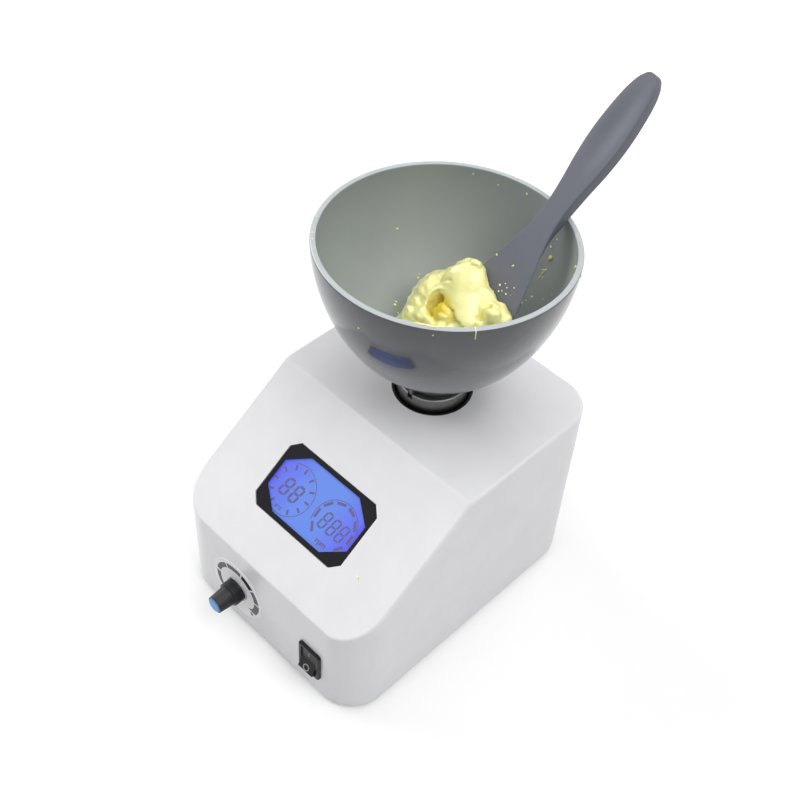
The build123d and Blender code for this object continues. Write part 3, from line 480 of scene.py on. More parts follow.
materials["display_glass"] = makeScreenFinish()
inks = {name: makeInk(name, *look) for name, look in inkLooks.items()}
for entry in frame["record"]["subparts"]:
    piece = nodes[entry["node"]]
    piece.data.materials.clear()
    piece.data.materials.append(materials[entry["material_slot"]])
print("finishes made,", len(materials))

# mixing bowl: turned upright, then leaned over in its socket as the CAD bowl is

bowl = {
    "centreY": 15.0, "rimRadius": 63.2, "footRadius": 8.2, "wall": 2.9, "bottomZ": 131.1, "depth": 76.8,
    "floor": 3.5, "cavityStart": 7.2,
    # the two powers of the curve that both skins follow
    "powerA": 1.765, "powerB": 1.958,
    "bossRadius": 15.2, "bossLow": 108.8, "boreRadius": 11.8, "boreTop": 128.1,
    "rimOuterRound": 1.0, "rimInnerRound": 0.5, "around": 224, "along": 52,
    "lugRadius": 16.3, "lugZ": 122.6, "lugSize": (3.4, 2.2, 5.2), "lugAngle": -86.0, "lugBend": 0.4,
    # where the rows of points up the skins start, and how much closer they are low down
    "firstShare": 0.015, "closerLow": 1.6,
    # radius and height of the points round the bends, from the foot's edge and from the boss's top
    "footBend": [(-0.15, 0.5), (-0.7, 0.1)], "bossBend": [(0.6, -0.1), (0.12, -0.5), (0.0, -1.1)],
    "leanThrough": (0.0, 15.0, 115.0), "leanAxis": (-0.793, -0.609, 0.0), "lean": 2.12,
}
bowl["rimZ"] = bowl["bottomZ"] + bowl["depth"]
bowl["floorZ"] = bowl["bottomZ"] + bowl["floor"]
leanCentre = Vector(bowl["leanThrough"])
leanTurn = Matrix.Rotation(math.radians(bowl["lean"]), 3, Vector(bowl["leanAxis"]))


def leanOver(point):
    return leanTurn @ (Vector(point) - leanCentre) + leanCentre


def standUp(point):
    return leanTurn.transposed() @ (Vector(point) - leanCentre) + leanCentre


def bowlRadius(share, rim, start):
    inner = 1 - (1 - share) ** bowl["powerA"]
    return start + (rim - start) * inner ** (1 / bowl["powerB"])


def cavityRadius(z):
    share = min(1.0, max(0.0, (z - bowl["floorZ"]) / (bowl["rimZ"] - bowl["floorZ"])))
    return bowlRadius(share, bowl["rimRadius"] - bowl["wall"], bowl["cavityStart"])


def outerRadius(z):
    share = min(1.0, max(0.0, (z - bowl["bottomZ"]) / bowl["depth"]))
    return bowlRadius(share, bowl["rimRadius"], bowl["footRadius"])


# the bowl's section as (radius, z, part): 0 is the outer skin, 1 the inner skin, 2 the rim, 3 the boss
def bowlProfile():
    rim, wall = bowl["rimRadius"], bowl["wall"]
    low, high, floor = bowl["bottomZ"], bowl["rimZ"], bowl["floorZ"]
    first = bowl["firstShare"]
    shares = [first + (1 - first) * (step / bowl["along"]) ** bowl["closerLow"] for step in range(bowl["along"] + 1)]
    edge = bowlRadius(first, rim - wall, bowl["cavityStart"])
    section = [(0.0, floor, 1), (edge * 0.4, floor, 1), (edge - 3.2, floor, 1), (edge - 1.5, floor + 0.2, 1)]
    bend = bowl["rimInnerRound"]
    for share in shares:
        z = floor + (high - floor) * share
        if z < high - bend - 0.05:
            section.append((bowlRadius(share, rim - wall, bowl["cavityStart"]), z, 1))
    for step in range(6):
        turn = math.radians(18 * step)
        section.append((rim - wall + bend * (1 - math.cos(turn)), high - bend + bend * math.sin(turn), 2))
    bend = bowl["rimOuterRound"]
    for step in range(8):
        turn = math.radians(90 - 12.86 * step)
        part = 2 if step < 4 else 0
        section.append((rim - bend * (1 - math.cos(turn)), high - bend + bend * math.sin(turn), part))
    for share in reversed(shares):
        z = low + (high - low) * share
        if z < high - bend - 0.05:
            section.append((bowlRadius(share, rim, bowl["footRadius"]), z, 0))
    foot = section[-1][0]
    boss, bossLow = bowl["bossRadius"], bowl["bossLow"]
    bore, boreTop = bowl["boreRadius"], bowl["boreTop"]
    below = [(foot + radius, low + z) for radius, z in bowl["footBend"]]
    below += [(boss + radius, low + z) for radius, z in bowl["bossBend"]]
    below += [(boss, 126.0), (boss, 118.0), (boss, bossLow + 0.8)]
    below += [(boss - 0.25, bossLow + 0.25), (boss - 0.8, bossLow), (bore + 0.5, bossLow), (bore, bossLow + 0.5)]
    below += [(bore, boreTop - 0.5), (bore - 0.5, boreTop), (0.0, boreTop)]
    return section + [(radius, z, 3) for radius, z in below]


# a closed turned shape, with its first and last section points on the axis, and the part of each face
def latheShape(section, around, centre):
    points = [(centre[0], centre[1], section[0][1])]
    faces, parts = [], []
    rings = section[1:-1]
    for radius, z, part in rings:
        for step in range(around):
            turn = 2 * math.pi * step / around
            points.append((centre[0] + radius * math.cos(turn), centre[1] + radius * math.sin(turn), z))
    points.append((centre[0], centre[1], section[-1][1]))
    last = len(points) - 1
    for step in range(around):
        after = (step + 1) % around
        faces.append((0, 1 + step, 1 + after))
        parts.append(section[0][2])
        for level in range(len(rings) - 1):
            low, high = 1 + level * around, 1 + (level + 1) * around
            faces.append((low + step, high + step, high + after, low + after))
            parts.append(rings[level][2])
        top = 1 + (len(rings) - 1) * around
        faces.append((top + step, last, top + after))
        parts.append(section[-1][2])
    return points, faces, parts


# a lug of the foot, with rounded edges, turned about the bowl's axis
def lugShape(turn):
    work = bmesh.new()
    bmesh.ops.create_cube(work, size=1.0)
    bmesh.ops.scale(work, vec=bowl["lugSize"], verts=work.verts)
    bmesh.ops.bevel(work, geom=work.edges[:], offset=bowl["lugBend"], segments=2, affect="EDGES", profile=0.5)
    bmesh.ops.translate(work, vec=(bowl["lugRadius"], 0, bowl["lugZ"]), verts=work.verts)
    bmesh.ops.rotate(work, cent=(0, 0, 0), matrix=Matrix.Rotation(math.radians(turn), 3, "Z"), verts=work.verts)
    bmesh.ops.translate(work, vec=(0, bowl["centreY"], 0), verts=work.verts)
    return takeShape(work)


points, faces, parts = latheShape(bowlProfile(), bowl["around"], (0.0, bowl["centreY"]))
lugs = [lugShape(bowl["lugAngle"] + 120 * index) for index in range(3)]
points, faces = joinShapes([(points, faces)] + lugs)
parts += [3] * (len(faces) - len(parts))
mixingBowl = addPiece("mixingBowl", [leanOver(point) for point in points], faces, "bowl", "bowl_rubber", 50)
# the inside, rim and foot take lighter copies of the bowl's rubber: painted light
for finish in ("bowl_inner_painted_light", "bowl_rim_painted_light", "bowl_boss_painted_light"):
    mixingBowl.data.materials.append(materials[finish])
for polygon, part in zip(mixingBowl.data.polygons, parts):
    polygon.material_index = part
fixNormals(mixingBowl.data)
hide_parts("bowl")
print("bowl made,", len(points), "points")


# spatula, drawn on its face plane: across, up the handle, out of the face

spatula = {
    "centre": (20.4, 67.9, 212.7), "up": (0.1104, 0.6197, 0.7771), "seatGap": 1.0,
    "outline": [(21.0, -76), (19.8, -66), (15.8, -46), (11.6, -30.5), (8.6, -20), (6.7, -10), (6.3, 1), (7.2, 12),
                (8.9, 25), (9.7, 38), (9.2, 50), (7.9, 61), (5.8, 68.5), (3.1, 72.7)],
    "bladeEnd": -84.0, "corner": 8.0, "tip": [(2.0, 73.4), (1.0, 73.85)],
    # along the spatula: how deep its back lies, and how far the back is drawn in from the edge
    "back": [(-85, -1.3), (-50, -1.9), (-26, -3.4), (-6, -5.8), (6, -6.6), (75, -6.6)],
    "thinning": [(-85, 6.0), (-46, 5.0), (-22, 2.4), (-6, 0.0), (75, 0.0)],
    "edgeRound": 0.7, "backRound": 1.0, "edgeShare": 0.45, "backShare": 0.4,
    "dish": {"middle": 44.0, "half": 30.0, "width": 7.4, "deep": 1.15}, "across": 28,
}
bladeUp = Vector(spatula["up"]).normalized()
bladeAcross = bladeUp.cross(Vector((0, 0, 1))).normalized()
bladeFace = bladeAcross.cross(bladeUp)
bladeOrigin = Vector(spatula["centre"]) + bladeFace * spatula["seatGap"]


def onBlade(across, along, out=0.0):
    return bladeOrigin + bladeAcross * across + bladeUp * along + bladeFace * out


# a smooth line through every point
def softCurve(points, steps):
    padded = [points[0]] + list(points) + [points[-1]]
    line = []
    for index in range(1, len(padded) - 2):
        before, start, end, after = (Vector(padded[index + shift]) for shift in (-1, 0, 1, 2))
        for step in range(steps):
            t = step / steps
            bend = (2 * before - 5 * start + 4 * end - after) * t * t
            bend += (3 * start - before - 3 * end + after) * t ** 3
            line.append(0.5 * (2 * start + (end - before) * t + bend))
    line.append(Vector(padded[-2]))
    return line


# half width and place of each row across the spatula
def spatulaRows():
    bend = spatula["corner"]
    rows = []
    inner = spatula["outline"][0][0] - bend
    for step in range(11):
        turn = math.radians(9 * step)
        rows.append((inner + bend * math.sin(turn), spatula["bladeEnd"] + bend * (1 - math.cos(turn))))
    rows += [(point[0], point[1]) for point in softCurve(spatula["outline"], 9)[1:]]
    return rows + spatula["tip"]


def dishDepth(across, along):
    dish = spatula["dish"]
    away = (across / dish["width"]) ** 2 + ((along - dish["middle"]) / dish["half"]) ** 2
    return -dish["deep"] * (1 - away) ** 2 if away < 1 else 0.0


# a spot of the grid over the spatula, drawn in from the edge
def drawnIn(rows, column, row, inset=0.0):
    half, along = rows[row]
    shrink = 1 - inset / max(half, 2 * inset)
    return (2 * column / spatula["across"] - 1) * half * shrink, along


# the (column, row) of each spot on the grid's rim, its place and which way is out
def spatulaRim(rows):
    across, last = spatula["across"], len(rows) - 1
    loop = [(across - column, 0) for column in range(across)]
    loop += [(0, row) for row in range(last)]
    loop += [(column, last) for column in range(across)]
    loop += [(across, last - row) for row in range(last)]
    places = [Vector(drawnIn(rows, *spot)) for spot in loop]
    outward = []
    for before, after in zip(places[-1:] + places[:-1], places[1:] + places[:1]):
        along = after - before
        outward.append(Vector((-along.y, along.x)).normalized())
    return loop, places, outward


# the edge's section at a place along the spatula, from front to back, as (how far in, depth) pairs
def edgeSection(along):
    bend, backBend = spatula["edgeRound"], spatula["backRound"]
    thin = throughPoints(spatula["thinning"], along)
    back = throughPoints(spatula["back"], along)
    front = back * spatula["edgeShare"]
    lift = min(backBend, -back * spatula["backShare"])
    turns = [math.radians(22.5 * step) for step in range(5)]
    section = [(bend * (1 - math.sin(turn)), max(-bend * (1 - math.cos(turn)), front)) for turn in turns[1:]]
    for share in (0.35, 0.7):
        section.append((thin * share, min(-bend, front) * (1 - share) + (back + lift) * share))
    return section + [(backBend * (1 - math.cos(turn)) + thin, back + lift * (1 - math.sin(turn))) for turn in turns]


def gridFaces(numbers, across, rows):
    faces = []
    for row in range(rows - 1):
        near, far = ([numbers[column, level] for column in range(across + 1)] for level in (row, row + 1))
        faces += stitch(near, far, False)
    return faces


def spatulaShape():
    rows = spatulaRows()
    across = spatula["across"]
    loop, places, outward = spatulaRim(rows)
    points = []

    def addSpot(x, y, depth):
        points.append(onBlade(x, y, depth))
        return len(points) - 1

    bend = spatula["edgeRound"]
    rim = {spot: place - out * bend for spot, place, out in zip(loop, places, outward)}
    front = {}
    for row in range(len(rows)):
        for column in range(across + 1):
            x, y = rim.get((column, row), drawnIn(rows, column, row, bend))
            front[column, row] = addSpot(x, y, dishDepth(x, y))
    faces = gridFaces(front, across, len(rows))
    previous = [front[spot] for spot in loop]
    for level in zip(*(edgeSection(place.y) for place in places)):
        current = []
        for place, out, (inset, depth) in zip(places, outward, level):
            current.append(addSpot(place.x - out.x * inset, place.y - out.y * inset, depth))
        faces += stitch(previous, current)
        previous = current
    back = dict(zip(loop, previous))
    for row in range(1, len(rows) - 1):
        inset = spatula["backRound"] + throughPoints(spatula["thinning"], rows[row][1])
        depth = throughPoints(spatula["back"], rows[row][1])
        for column in range(1, across):
            back[column, row] = addSpot(*drawnIn(rows, column, row, inset), depth)
    return points, faces + gridFaces(back, across, len(rows))


points, faces = spatulaShape()
mixingSpatula = addPiece("mixingSpatula", points, faces, "spatula", "spatula_grey", 40)
fixNormals(mixingSpatula.data)
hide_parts("spatula")
print("spatula made,", len(points), "points")


# mixed paste: lumps, a draped tongue and torn hollows, worked out as distances on a grid and skinned

paste = {
    # centre and half size of each egg-shaped lump, torn hollow and small bit
    "lumps": [((-1.0, 23.0, 156.0), (23.0, 16.0, 20.0)), ((2.0, 12.0, 147.0), (25.0, 20.0, 13.0)),
              ((-8.0, 17.0, 150.0), (14.8, 15.8, 16.6)), ((0.3, 35.2, 173.4), (9.5, 8.0, 12.4)),
              ((-11.0, 28.0, 159.5), (13.6, 12.5, 13.0)), ((24.0, 26.5, 165.5), (11.2, 9.5, 13.2)),
              ((12.0, 31.5, 168.0), (9.0, 8.0, 11.0)), ((-5.0, 32.0, 168.6), (9.6, 9.0, 11.4))],
    "lumpBlend": 3.0,
    "bites": [((-1.9, 15.0, 169.4), (5.2, 6.5, 8.2)), ((4.5, 16.5, 171.5), (6.0, 5.5, 5.0)),
              ((21.3, 20.5, 176.0), (2.4, 6.5, 6.5)), ((11.5, 12.0, 168.5), (3.0, 5.5, 4.5))],
    "biteBlend": 1.2,
    "bits": [((3.2, 16.6, 167.4), (5.2, 4.2, 3.6)), ((0.8, 14.4, 165.0), (3.6, 3.2, 3.0)),
             ((6.0, 15.0, 166.6), (3.4, 3.0, 2.6)), ((-6.0, 9.0, 163.6), (4.2, 3.4, 3.0)),
             ((-11.5, 8.0, 161.0), (3.6, 3.2, 3.0)), ((0.5, 8.6, 162.6), (4.0, 3.0, 2.8)),
             ((6.5, 9.5, 163.4), (4.4, 3.2, 2.6)), ((-13.5, 12.5, 165.0), (3.2, 3.0, 2.8)),
             ((26.6, 22.4, 175.6), (4.6, 3.4, 4.6)), ((30.5, 25.6, 174.0), (3.4, 3.4, 4.0)),
             ((22.6, 17.8, 170.4), (2.6, 2.4, 2.6)), ((2.6, 34.8, 186.0), (3.4, 2.6, 2.4))],
    "bitBlend": 0.9,
    "drape": {"path": [(-1.0, 36.0, 184.4), (0.8, 33.4, 186.6), (3.6, 30.2, 185.8), (6.8, 26.6, 182.4),
                       (9.8, 22.8, 177.8), (14.0, 19.0, 173.4), (17.8, 16.0, 169.8), (19.6, 14.6, 166.6)],
              "left": [(0.0, 12.0), (0.2, 15.0), (0.45, 14.5), (0.62, 10.8), (0.74, 7.5), (0.86, 4.6), (1.0, 2.6)],
              "right": [(0.0, 4.5), (0.2, 6.0), (0.45, 8.5), (0.62, 9.0), (0.74, 7.5), (0.86, 4.8), (1.0, 2.4)],
              "side": (0.743, 0.669, 0.0), "front": (0.45, -0.5, 0.73), "thick": 3.0, "end": 1.4,
              "curl": (11.0, 15.0), "rag": 2.0, "blend": 0.6},
    # start, end, width and depth of each crease, and the same for the small pits
    "creases": [
        ((-11.4, 19.4, 172.6), (-8.4, 22.6, 174.6), 0.8, 1.0), ((-8.4, 22.6, 174.6), (-2.3, 22.8, 179.6), 0.8, 1.1),
        ((2.0, 31.4, 186.6), (2.3, 31.6, 186.7), 0.8, 0.8), ((4.2, 32.0, 187.6), (4.8, 32.3, 187.4), 1.1, 1.2),
        ((-14.1, 10.0, 166.6), (-13.8, 10.3, 166.4), 0.8, 0.9), ((-13.9, 5.9, 162.8), (-13.6, 6.0, 162.6), 0.9, 1.0),
        ((-9.8, 18.3, 173.2), (-9.4, 18.0, 173.2), 0.7, 0.8), ((-4.9, 8.9, 167.1), (-4.6, 9.1, 167.0), 0.8, 0.9),
        ((-9.0, 12.6, 169.4), (-7.6, 12.2, 169.6), 0.7, 0.8)],
    # how many waves shake the whole shape, how deep they go, and the shortest and longest
    "tremble": (14, 0.34, 4.5, 11.0),
    # height and width of the unevenness, from slow to fine
    "wave": (0.8, 9.0), "lump": (0.42, 2.9), "grit": (0.26, 1.3),
    # the share of it on the tongue, and the distance over which it grows to the whole
    "calm": 0.2, "calmReach": (0.6, 4.5),
    "cell": 0.7, "bladeGap": 0.45, "wallGap": 0.05, "bladeSide": 0.4, "bladeLow": -85.0, "bladeReach": -3.0,
    "low": (-30.0, -9.0, 134.0), "high": (38.0, 47.0, 189.0),
}


# distance to an ellipsoid, close enough for blending
def eggDistance(spots, centre, half):
    offset = (spots - np.array(centre)) / np.array(half)
    near = np.linalg.norm(offset, axis=1)
    slope = np.linalg.norm(offset / np.array(half), axis=1)
    return near * (near - 1) / np.maximum(slope, 1e-6)


def blendIn(first, second, soft):
    share = np.clip(0.5 + 0.5 * (second - first) / soft, 0, 1)
    return second * (1 - share) + first * share - soft * share * (1 - share)


def cutOut(first, second, soft):
    return -blendIn(-first, second, soft)


# rows along the draped tongue: place, side, outward, half width to the left and to the right
def drapeRows():
    look = paste["drape"]
    line = softCurve(look["path"], 7)
    side = Vector(look["side"])
    rows = []
    for index, spot in enumerate(line):
        along = (line[min(index + 1, len(line) - 1)] - line[max(index - 1, 0)]).normalized()
        out = side.cross(along).normalized()
        out = -out if out.dot(Vector(look["front"])) < 0 else out
        share = index / (len(line) - 1)
        ragged = noise.noise((share * 13.0, 4.2, 0.7)) + 0.6 * noise.noise((share * 37.0, 1.3, 2.9))
        left = throughPoints(look["left"], share) + look["rag"] * ragged * smoothStep(0.35, 0.6, share)
        ragged = 0.7 * noise.noise((share * 17.0, 8.1, 5.5))
        right = throughPoints(look["right"], share) + look["rag"] * ragged * smoothStep(0.4, 0.6, share)
        rows.append((np.array(spot), np.array(side), np.array(out), left, right))
    return rows


def drapeDistance(spots, rows):
    look = paste["drape"]
    places = np.array([row[0] for row in rows])
    least = np.full(len(spots), 1e9)
    nearest = np.zeros(len(spots), int)
    for index, (place, side, *_) in enumerate(rows):
        offset = spots - place
        gap = (offset ** 2).sum(axis=1) - (offset @ side) ** 2
        nearer = gap < least
        least[nearer], nearest[nearer] = gap[nearer], index
    sides, outs, lefts, rights = (np.array([row[part] for row in rows])[nearest] for part in (1, 2, 3, 4))
    offset = spots - places[nearest]
    across = (offset * sides).sum(axis=1)
    out = (offset * outs).sum(axis=1)
    along = np.cross(sides, outs)
    beyond = np.abs((offset * along).sum(axis=1))
    curl = np.where(across < 0, *look["curl"])
    sheet = np.abs(out + across ** 2 / (2 * curl) + look["thick"] / 2) - look["thick"] / 2
    edge = np.maximum(-across - lefts, across - rights)
    flat = np.maximum(edge, beyond - look["end"])
    return np.where((flat > 0) & (sheet > 0), np.hypot(flat, sheet), np.maximum(flat, sheet))


# a slow wavering that keeps the lumps and hollows from looking round
def trembled(spots):
    waves, deep, shortest, longest = paste["tremble"]
    draw = random.Random(5)
    moved = spots.copy()
    for _ in range(waves):
        heading = np.array([draw.gauss(0, 1) for _ in range(3)])
        heading *= 2 * math.pi / (draw.uniform(shortest, longest) * np.linalg.norm(heading))
        push = np.array([draw.uniform(-1, 1) for _ in range(3)]) * deep * 0.5
        moved += np.sin(spots @ heading + draw.uniform(0, 6.3))[:, None] * push
    return moved


# the paste's field: below 0 inside
def pasteField(spots, rows):
    smooth, spots = spots, trembled(spots)
    field = eggDistance(spots, *paste["lumps"][0])
    for centre, half in paste["lumps"][1:]:
        field = blendIn(field, eggDistance(spots, centre, half), paste["lumpBlend"])
    for centre, half in paste["bites"]:
        field = cutOut(field, eggDistance(spots, centre, half), paste["biteBlend"])
    for centre, half in paste["bits"]:
        field = blendIn(field, eggDistance(spots, centre, half), paste["bitBlend"])
    field = blendIn(field, drapeDistance(smooth, rows), paste["drape"]["blend"])
    return np.maximum(field, bladeSlab(smooth))


bladeHalf = spatula["outline"][0][0] + paste["bladeSide"]


# above 0 in the space that the blade and what lies behind it take
def bladeSlab(spots):
    local = spots - np.array(bladeOrigin)
    across = np.abs(local @ np.array(bladeAcross))
    along = local @ np.array(bladeUp)
    out = local @ np.array(bladeFace)
    return np.minimum(np.minimum(bladeHalf - across, along - paste["bladeLow"]), paste["bladeGap"] - out)


# the skin's spot in each cell where the field changes sign, and each cell's number
def skinSpots(values, low, cell):
    inside = values < 0
    nx, ny, nz = values.shape
    total = np.zeros((nx - 1, ny - 1, nz - 1, 3))
    count = np.zeros((nx - 1, ny - 1, nz - 1))
    corners = [np.array(corner) for corner in np.ndindex(2, 2, 2)]

    def at(corner, grid):
        return grid[corner[0]:nx - 1 + corner[0], corner[1]:ny - 1 + corner[1], corner[2]:nz - 1 + corner[2]]

    for start in corners:
        for axis in range(3):
            if start[axis]:
                continue
            end = start.copy()
            end[axis] = 1
            a, b = at(start, values), at(end, values)
            crossing = at(start, inside) != at(end, inside)
            share = np.where(crossing, a / np.where(crossing, a - b, 1.0), 0.0)
            for part in range(3):
                total[..., part] += np.where(crossing, start[part] + (share if part == axis else 0.0), 0.0)
            count += crossing
    used = count > 0
    index = np.full(used.shape, -1)
    index[used] = np.arange(used.sum())
    return (np.argwhere(used) + total[used] / count[used][:, None]) * cell + np.array(low), index


# a face round each step of the grid at which the field changes sign
def skinFaces(values, index):
    inside = values < 0
    faces = []
    for axis in range(3):
        first, second = [other for other in range(3) if other != axis]
        ahead = np.roll(inside, -1, axis=axis)
        for spot in np.argwhere(inside != ahead):
            if spot[axis] >= inside.shape[axis] - 1 or min(spot[first], spot[second]) < 1:
                continue
            ring = []
            for stepA, stepB in ((1, 1), (0, 1), (0, 0), (1, 0)):
                cellSpot = spot.copy()
                cellSpot[first] -= stepA
                cellSpot[second] -= stepB
                ring.append(int(index[tuple(cellSpot)]))
            faces.append(tuple(ring))
    return faces


def neighbourLists(count, faces):
    near = [set() for _ in range(count)]
    for face in faces:
        for a, b in zip(face, face[1:] + face[:1]):
            near[a].add(b)
            near[b].add(a)
    return near


# moves each point halfway to the middle of its neighbours
def easeSkin(spots, near):
    middles = [sum((spots[other] for other in around), Vector()) / len(around) for around in near]
    return [spot.lerp(middle, 0.5) for spot, middle in zip(spots, middles)]


# moves a point of the paste inside the bowl and to the blade's front
def keepInBowl(spot):
    local = spot - bladeOrigin
    across, along, out = local.dot(bladeAcross), local.dot(bladeUp), local.dot(bladeFace)
    if abs(across) < bladeHalf and along > paste["bladeLow"] and paste["bladeReach"] < out < paste["bladeGap"]:
        spot = spot + bladeFace * (paste["bladeGap"] - out)
    spot = standUp(spot)
    spot.z = max(spot.z, bowl["floorZ"] + paste["wallGap"])
    flat = Vector((spot.x, spot.y - bowl["centreY"]))
    limit = cavityRadius(spot.z) - paste["wallGap"]
    if flat.length > limit:
        flat *= limit / flat.length
        spot.x, spot.y = flat.x, flat.y + bowl["centreY"]
    return leanOver(spot)


def creaseDepth(spot):
    total = 0.0
    for start, end, width, depth in paste["creases"]:
        start, run = Vector(start), Vector(end) - Vector(start)
        share = min(1.0, max(0.0, (spot - start).dot(run) / run.length_squared))
        gap = (spot - start - run * share).length / width
        total += depth * math.exp(-gap * gap)
    return total


def makePaste():
    low, high, cell = np.array(paste["low"]), np.array(paste["high"]), paste["cell"]
    counts = ((high - low) / cell).astype(int)
    grid = np.stack(np.meshgrid(*[low[i] + cell * np.arange(counts[i]) for i in range(3)], indexing="ij"), axis=-1)
    rows = drapeRows()
    values = pasteField(grid.reshape(-1, 3), rows).reshape(tuple(counts))
    values = np.pad(values, 1, constant_values=cell)
    spots, index = skinSpots(values, low - cell, cell)
    faces = skinFaces(values, index)
    near = neighbourLists(len(spots), faces)
    spots = easeSkin([Vector(spot) for spot in spots], near)
    draft = bpy.data.meshes.new("pasteDraft")
    draft.from_pydata(spots, [], faces)
    draft.update()
    fixNormals(draft)
    toDrape = drapeDistance(np.array([tuple(spot) for spot in spots]), rows)
    worked = []
    for vertex, gap in zip(draft.vertices, toDrape):
        spot, normal = vertex.co.copy(), vertex.normal.copy()
        rough = paste["calm"] + (1 - paste["calm"]) * smoothStep(*paste["calmReach"], float(gap))
        wave, lump, grit = (paste[name][0] * noise.noise(spot / paste[name][1]) for name in ("wave", "lump", "grit"))
        push = wave * (0.4 + 0.6 * rough) + (lump + grit) * rough
        worked.append(keepInBowl(spot + normal * (push - creaseDepth(spot))))
    faces = [tuple(face.vertices) for face in draft.polygons]
    bpy.data.meshes.remove(draft)
    return worked, faces


points, faces = makePaste()
mixedPaste = addPiece("mixedPaste", points, faces, "bowl", "paste_yellow", 180)
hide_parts("impression_paste")
print("paste made,", len(points), "points")

# crumbs and smears of dried paste, on the bowl, the spatula and the housing

crumbs = {
    # azimuth round the bowl, height over its bottom, half size
    "inside": [(174.4, 14.1, 0.8), (172.1, 14.9, 0.55), (175.5, 11.4, 0.5), (148.6, 21.4, 0.6), (147.2, 22.8, 0.4),
               (158.6, 44.3, 0.75), (92.5, 72.4, 0.6), (120.8, 73.0, 0.4), (108.0, 70.5, 0.35), (65.3, 53.0, 1.15),
               (66.2, 51.4, 0.6), (68.6, 57.0, 0.7), (66.5, 62.6, 0.6), (61.7, 32.8, 0.6), (69.1, 33.0, 0.5),
               (65.3, 27.3, 0.6), (63.8, 29.4, 0.4), (35.4, 71.6, 0.8), (33.0, 68.8, 0.4), (52.0, 38.0, 0.4),
               (48.0, 44.0, 0.35)],
    "outside": [(-84.2, 62.9, 0.45), (26.4, 74.6, 0.6), (-52.0, 73.6, 0.35)],
    "rim": [(-131.2, 0.5), (-135.9, 0.35), (-147.0, 0.35), (100.5, 0.3)],
    # start and end (azimuth, height) and half width of each drawn-out smear
    "smears": [((66.6, 40.0), (65.6, 43.0), 0.55), ((65.8, 43.4), (64.2, 47.4), 0.7),
               ((67.4, 44.5), (66.0, 46.2), 0.4), ((64.6, 41.6), (63.4, 43.4), 0.35)],
    # across and along the spatula's face, half size
    "spatula": [(-11.6, -35.0, 0.6), (-0.2, -33.8, 0.55), (0.1, -44.9, 0.65), (4.3, -43.6, 0.4), (7.6, -41.3, 0.4),
                (3.0, -46.3, 0.45), (5.9, -46.1, 0.45), (2.2, -42.6, 0.3), (1.6, -47.6, 0.5), (8.4, -45.0, 0.3)],
    "housing": [(42.7, 31.0, 0.75), (43.7, 30.3, 0.4)],
    # the smear along the rim's inner edge and the thread that hangs over it
    "rimSmear": {"from": -60.5, "to": -47.5, "radius": 60.9, "half": 0.75, "thick": 0.28,
                 "wander": 0.3},
    "thread": {"azimuth": -35.5, "half": 0.27, "drop": 3.6,
               "over": [(59.9, -1.2), (60.2, -0.3), (60.6, 0.05), (61.4, 0.05), (62.3, 0.0), (62.9, -0.35),
                        (63.25, -1.0)]},
    # how uneven a grain or ridge is, how close its bumps are, how flat it lies and how far it stands out
    "grain": {"uneven": 0.45, "bumps": 1.6, "flat": 0.62, "lift": 0.25, "longer": (0.9, 1.5)},
    "ridge": {"uneven": 0.35, "bumps": 0.9, "lift": 0.3, "blunt": 0.6, "end": 0.06, "wander": 0.4},
}
chance = random.Random(11)


def aroundBowl(azimuth, radius, z):
    turn = math.radians(azimuth)
    return Vector((radius * math.cos(turn), bowl["centreY"] + radius * math.sin(turn), z))


def onBowlWall(azimuth, height, inner):
    z = bowl["bottomZ"] + height
    return aroundBowl(azimuth, cavityRadius(z) if inner else outerRadius(z), z)


# a small uneven grain that sits on a surface, flattened towards it
def grainShape(spot, normal, size):
    look = crumbs["grain"]
    normal = Vector(normal).normalized()
    first = normal.orthogonal().normalized()
    second = normal.cross(first)
    longer = chance.uniform(*look["longer"])
    seed = Vector((chance.uniform(0, 50), 0, 0))
    work = bmesh.new()
    bmesh.ops.create_icosphere(work, subdivisions=2, radius=1.0)

    def place(ball):
        local = ball * (1 + look["uneven"] * noise.noise(ball * look["bumps"] + seed)) * size
        out = normal * (local.z * look["flat"] + size * look["lift"])
        return spot + first * local.x * longer + second * local.y + out

    return takeShape(work, place)


# a drawn-out ridge of paste along a line of (place, normal) pairs
def ridgeShape(line, half, thick, taper=True, sides=8):
    look = crumbs["ridge"]
    rings = []
    last = len(line) - 1
    for index, (spot, normal) in enumerate(line):
        along = (line[min(index + 1, last)][0] - line[max(index - 1, 0)][0]).normalized()
        across = along.cross(normal).normalized()
        share = look["end"] + (1 - 2 * look["end"]) * index / last
        size = math.sin(math.pi * share) ** look["blunt"] if taper else 1.0
        size *= 1 + look["uneven"] * noise.noise(spot * look["bumps"])
        ring = []
        for side in range(sides):
            turn = 2 * math.pi * side / sides
            out = normal * (thick * size * math.sin(turn) + look["lift"] * thick)
            ring.append(spot + across * (half * size * math.cos(turn)) + out)
        rings.append(ring)
    return tubeShape(rings)


def wallNormal(azimuth, height, inner):
    here = onBowlWall(azimuth, height, inner)
    up = onBowlWall(azimuth, min(height + 0.5, bowl["depth"] - 0.01), inner) - here
    across = onBowlWall(azimuth + 0.5, height, inner) - here
    normal = up.cross(across).normalized()
    toAxis = Vector((-here.x, bowl["centreY"] - here.y, 0))
    return normal if (normal.dot(toAxis) > 0) == inner else -normal


def wallGrains():
    grains = []
    for name, inner in (("inside", True), ("outside", False)):
        for azimuth, height, size in crumbs[name]:
            spot, normal = onBowlWall(azimuth, height, inner), wallNormal(azimuth, height, inner)
            grains.append(grainShape(spot, normal, size))
    return grains


def rimGrains():
    middle = bowl["rimRadius"] - bowl["wall"] / 2
    return [grainShape(aroundBowl(azimuth, middle, bowl["rimZ"]), (0, 0, 1), size) for azimuth, size in crumbs["rim"]]


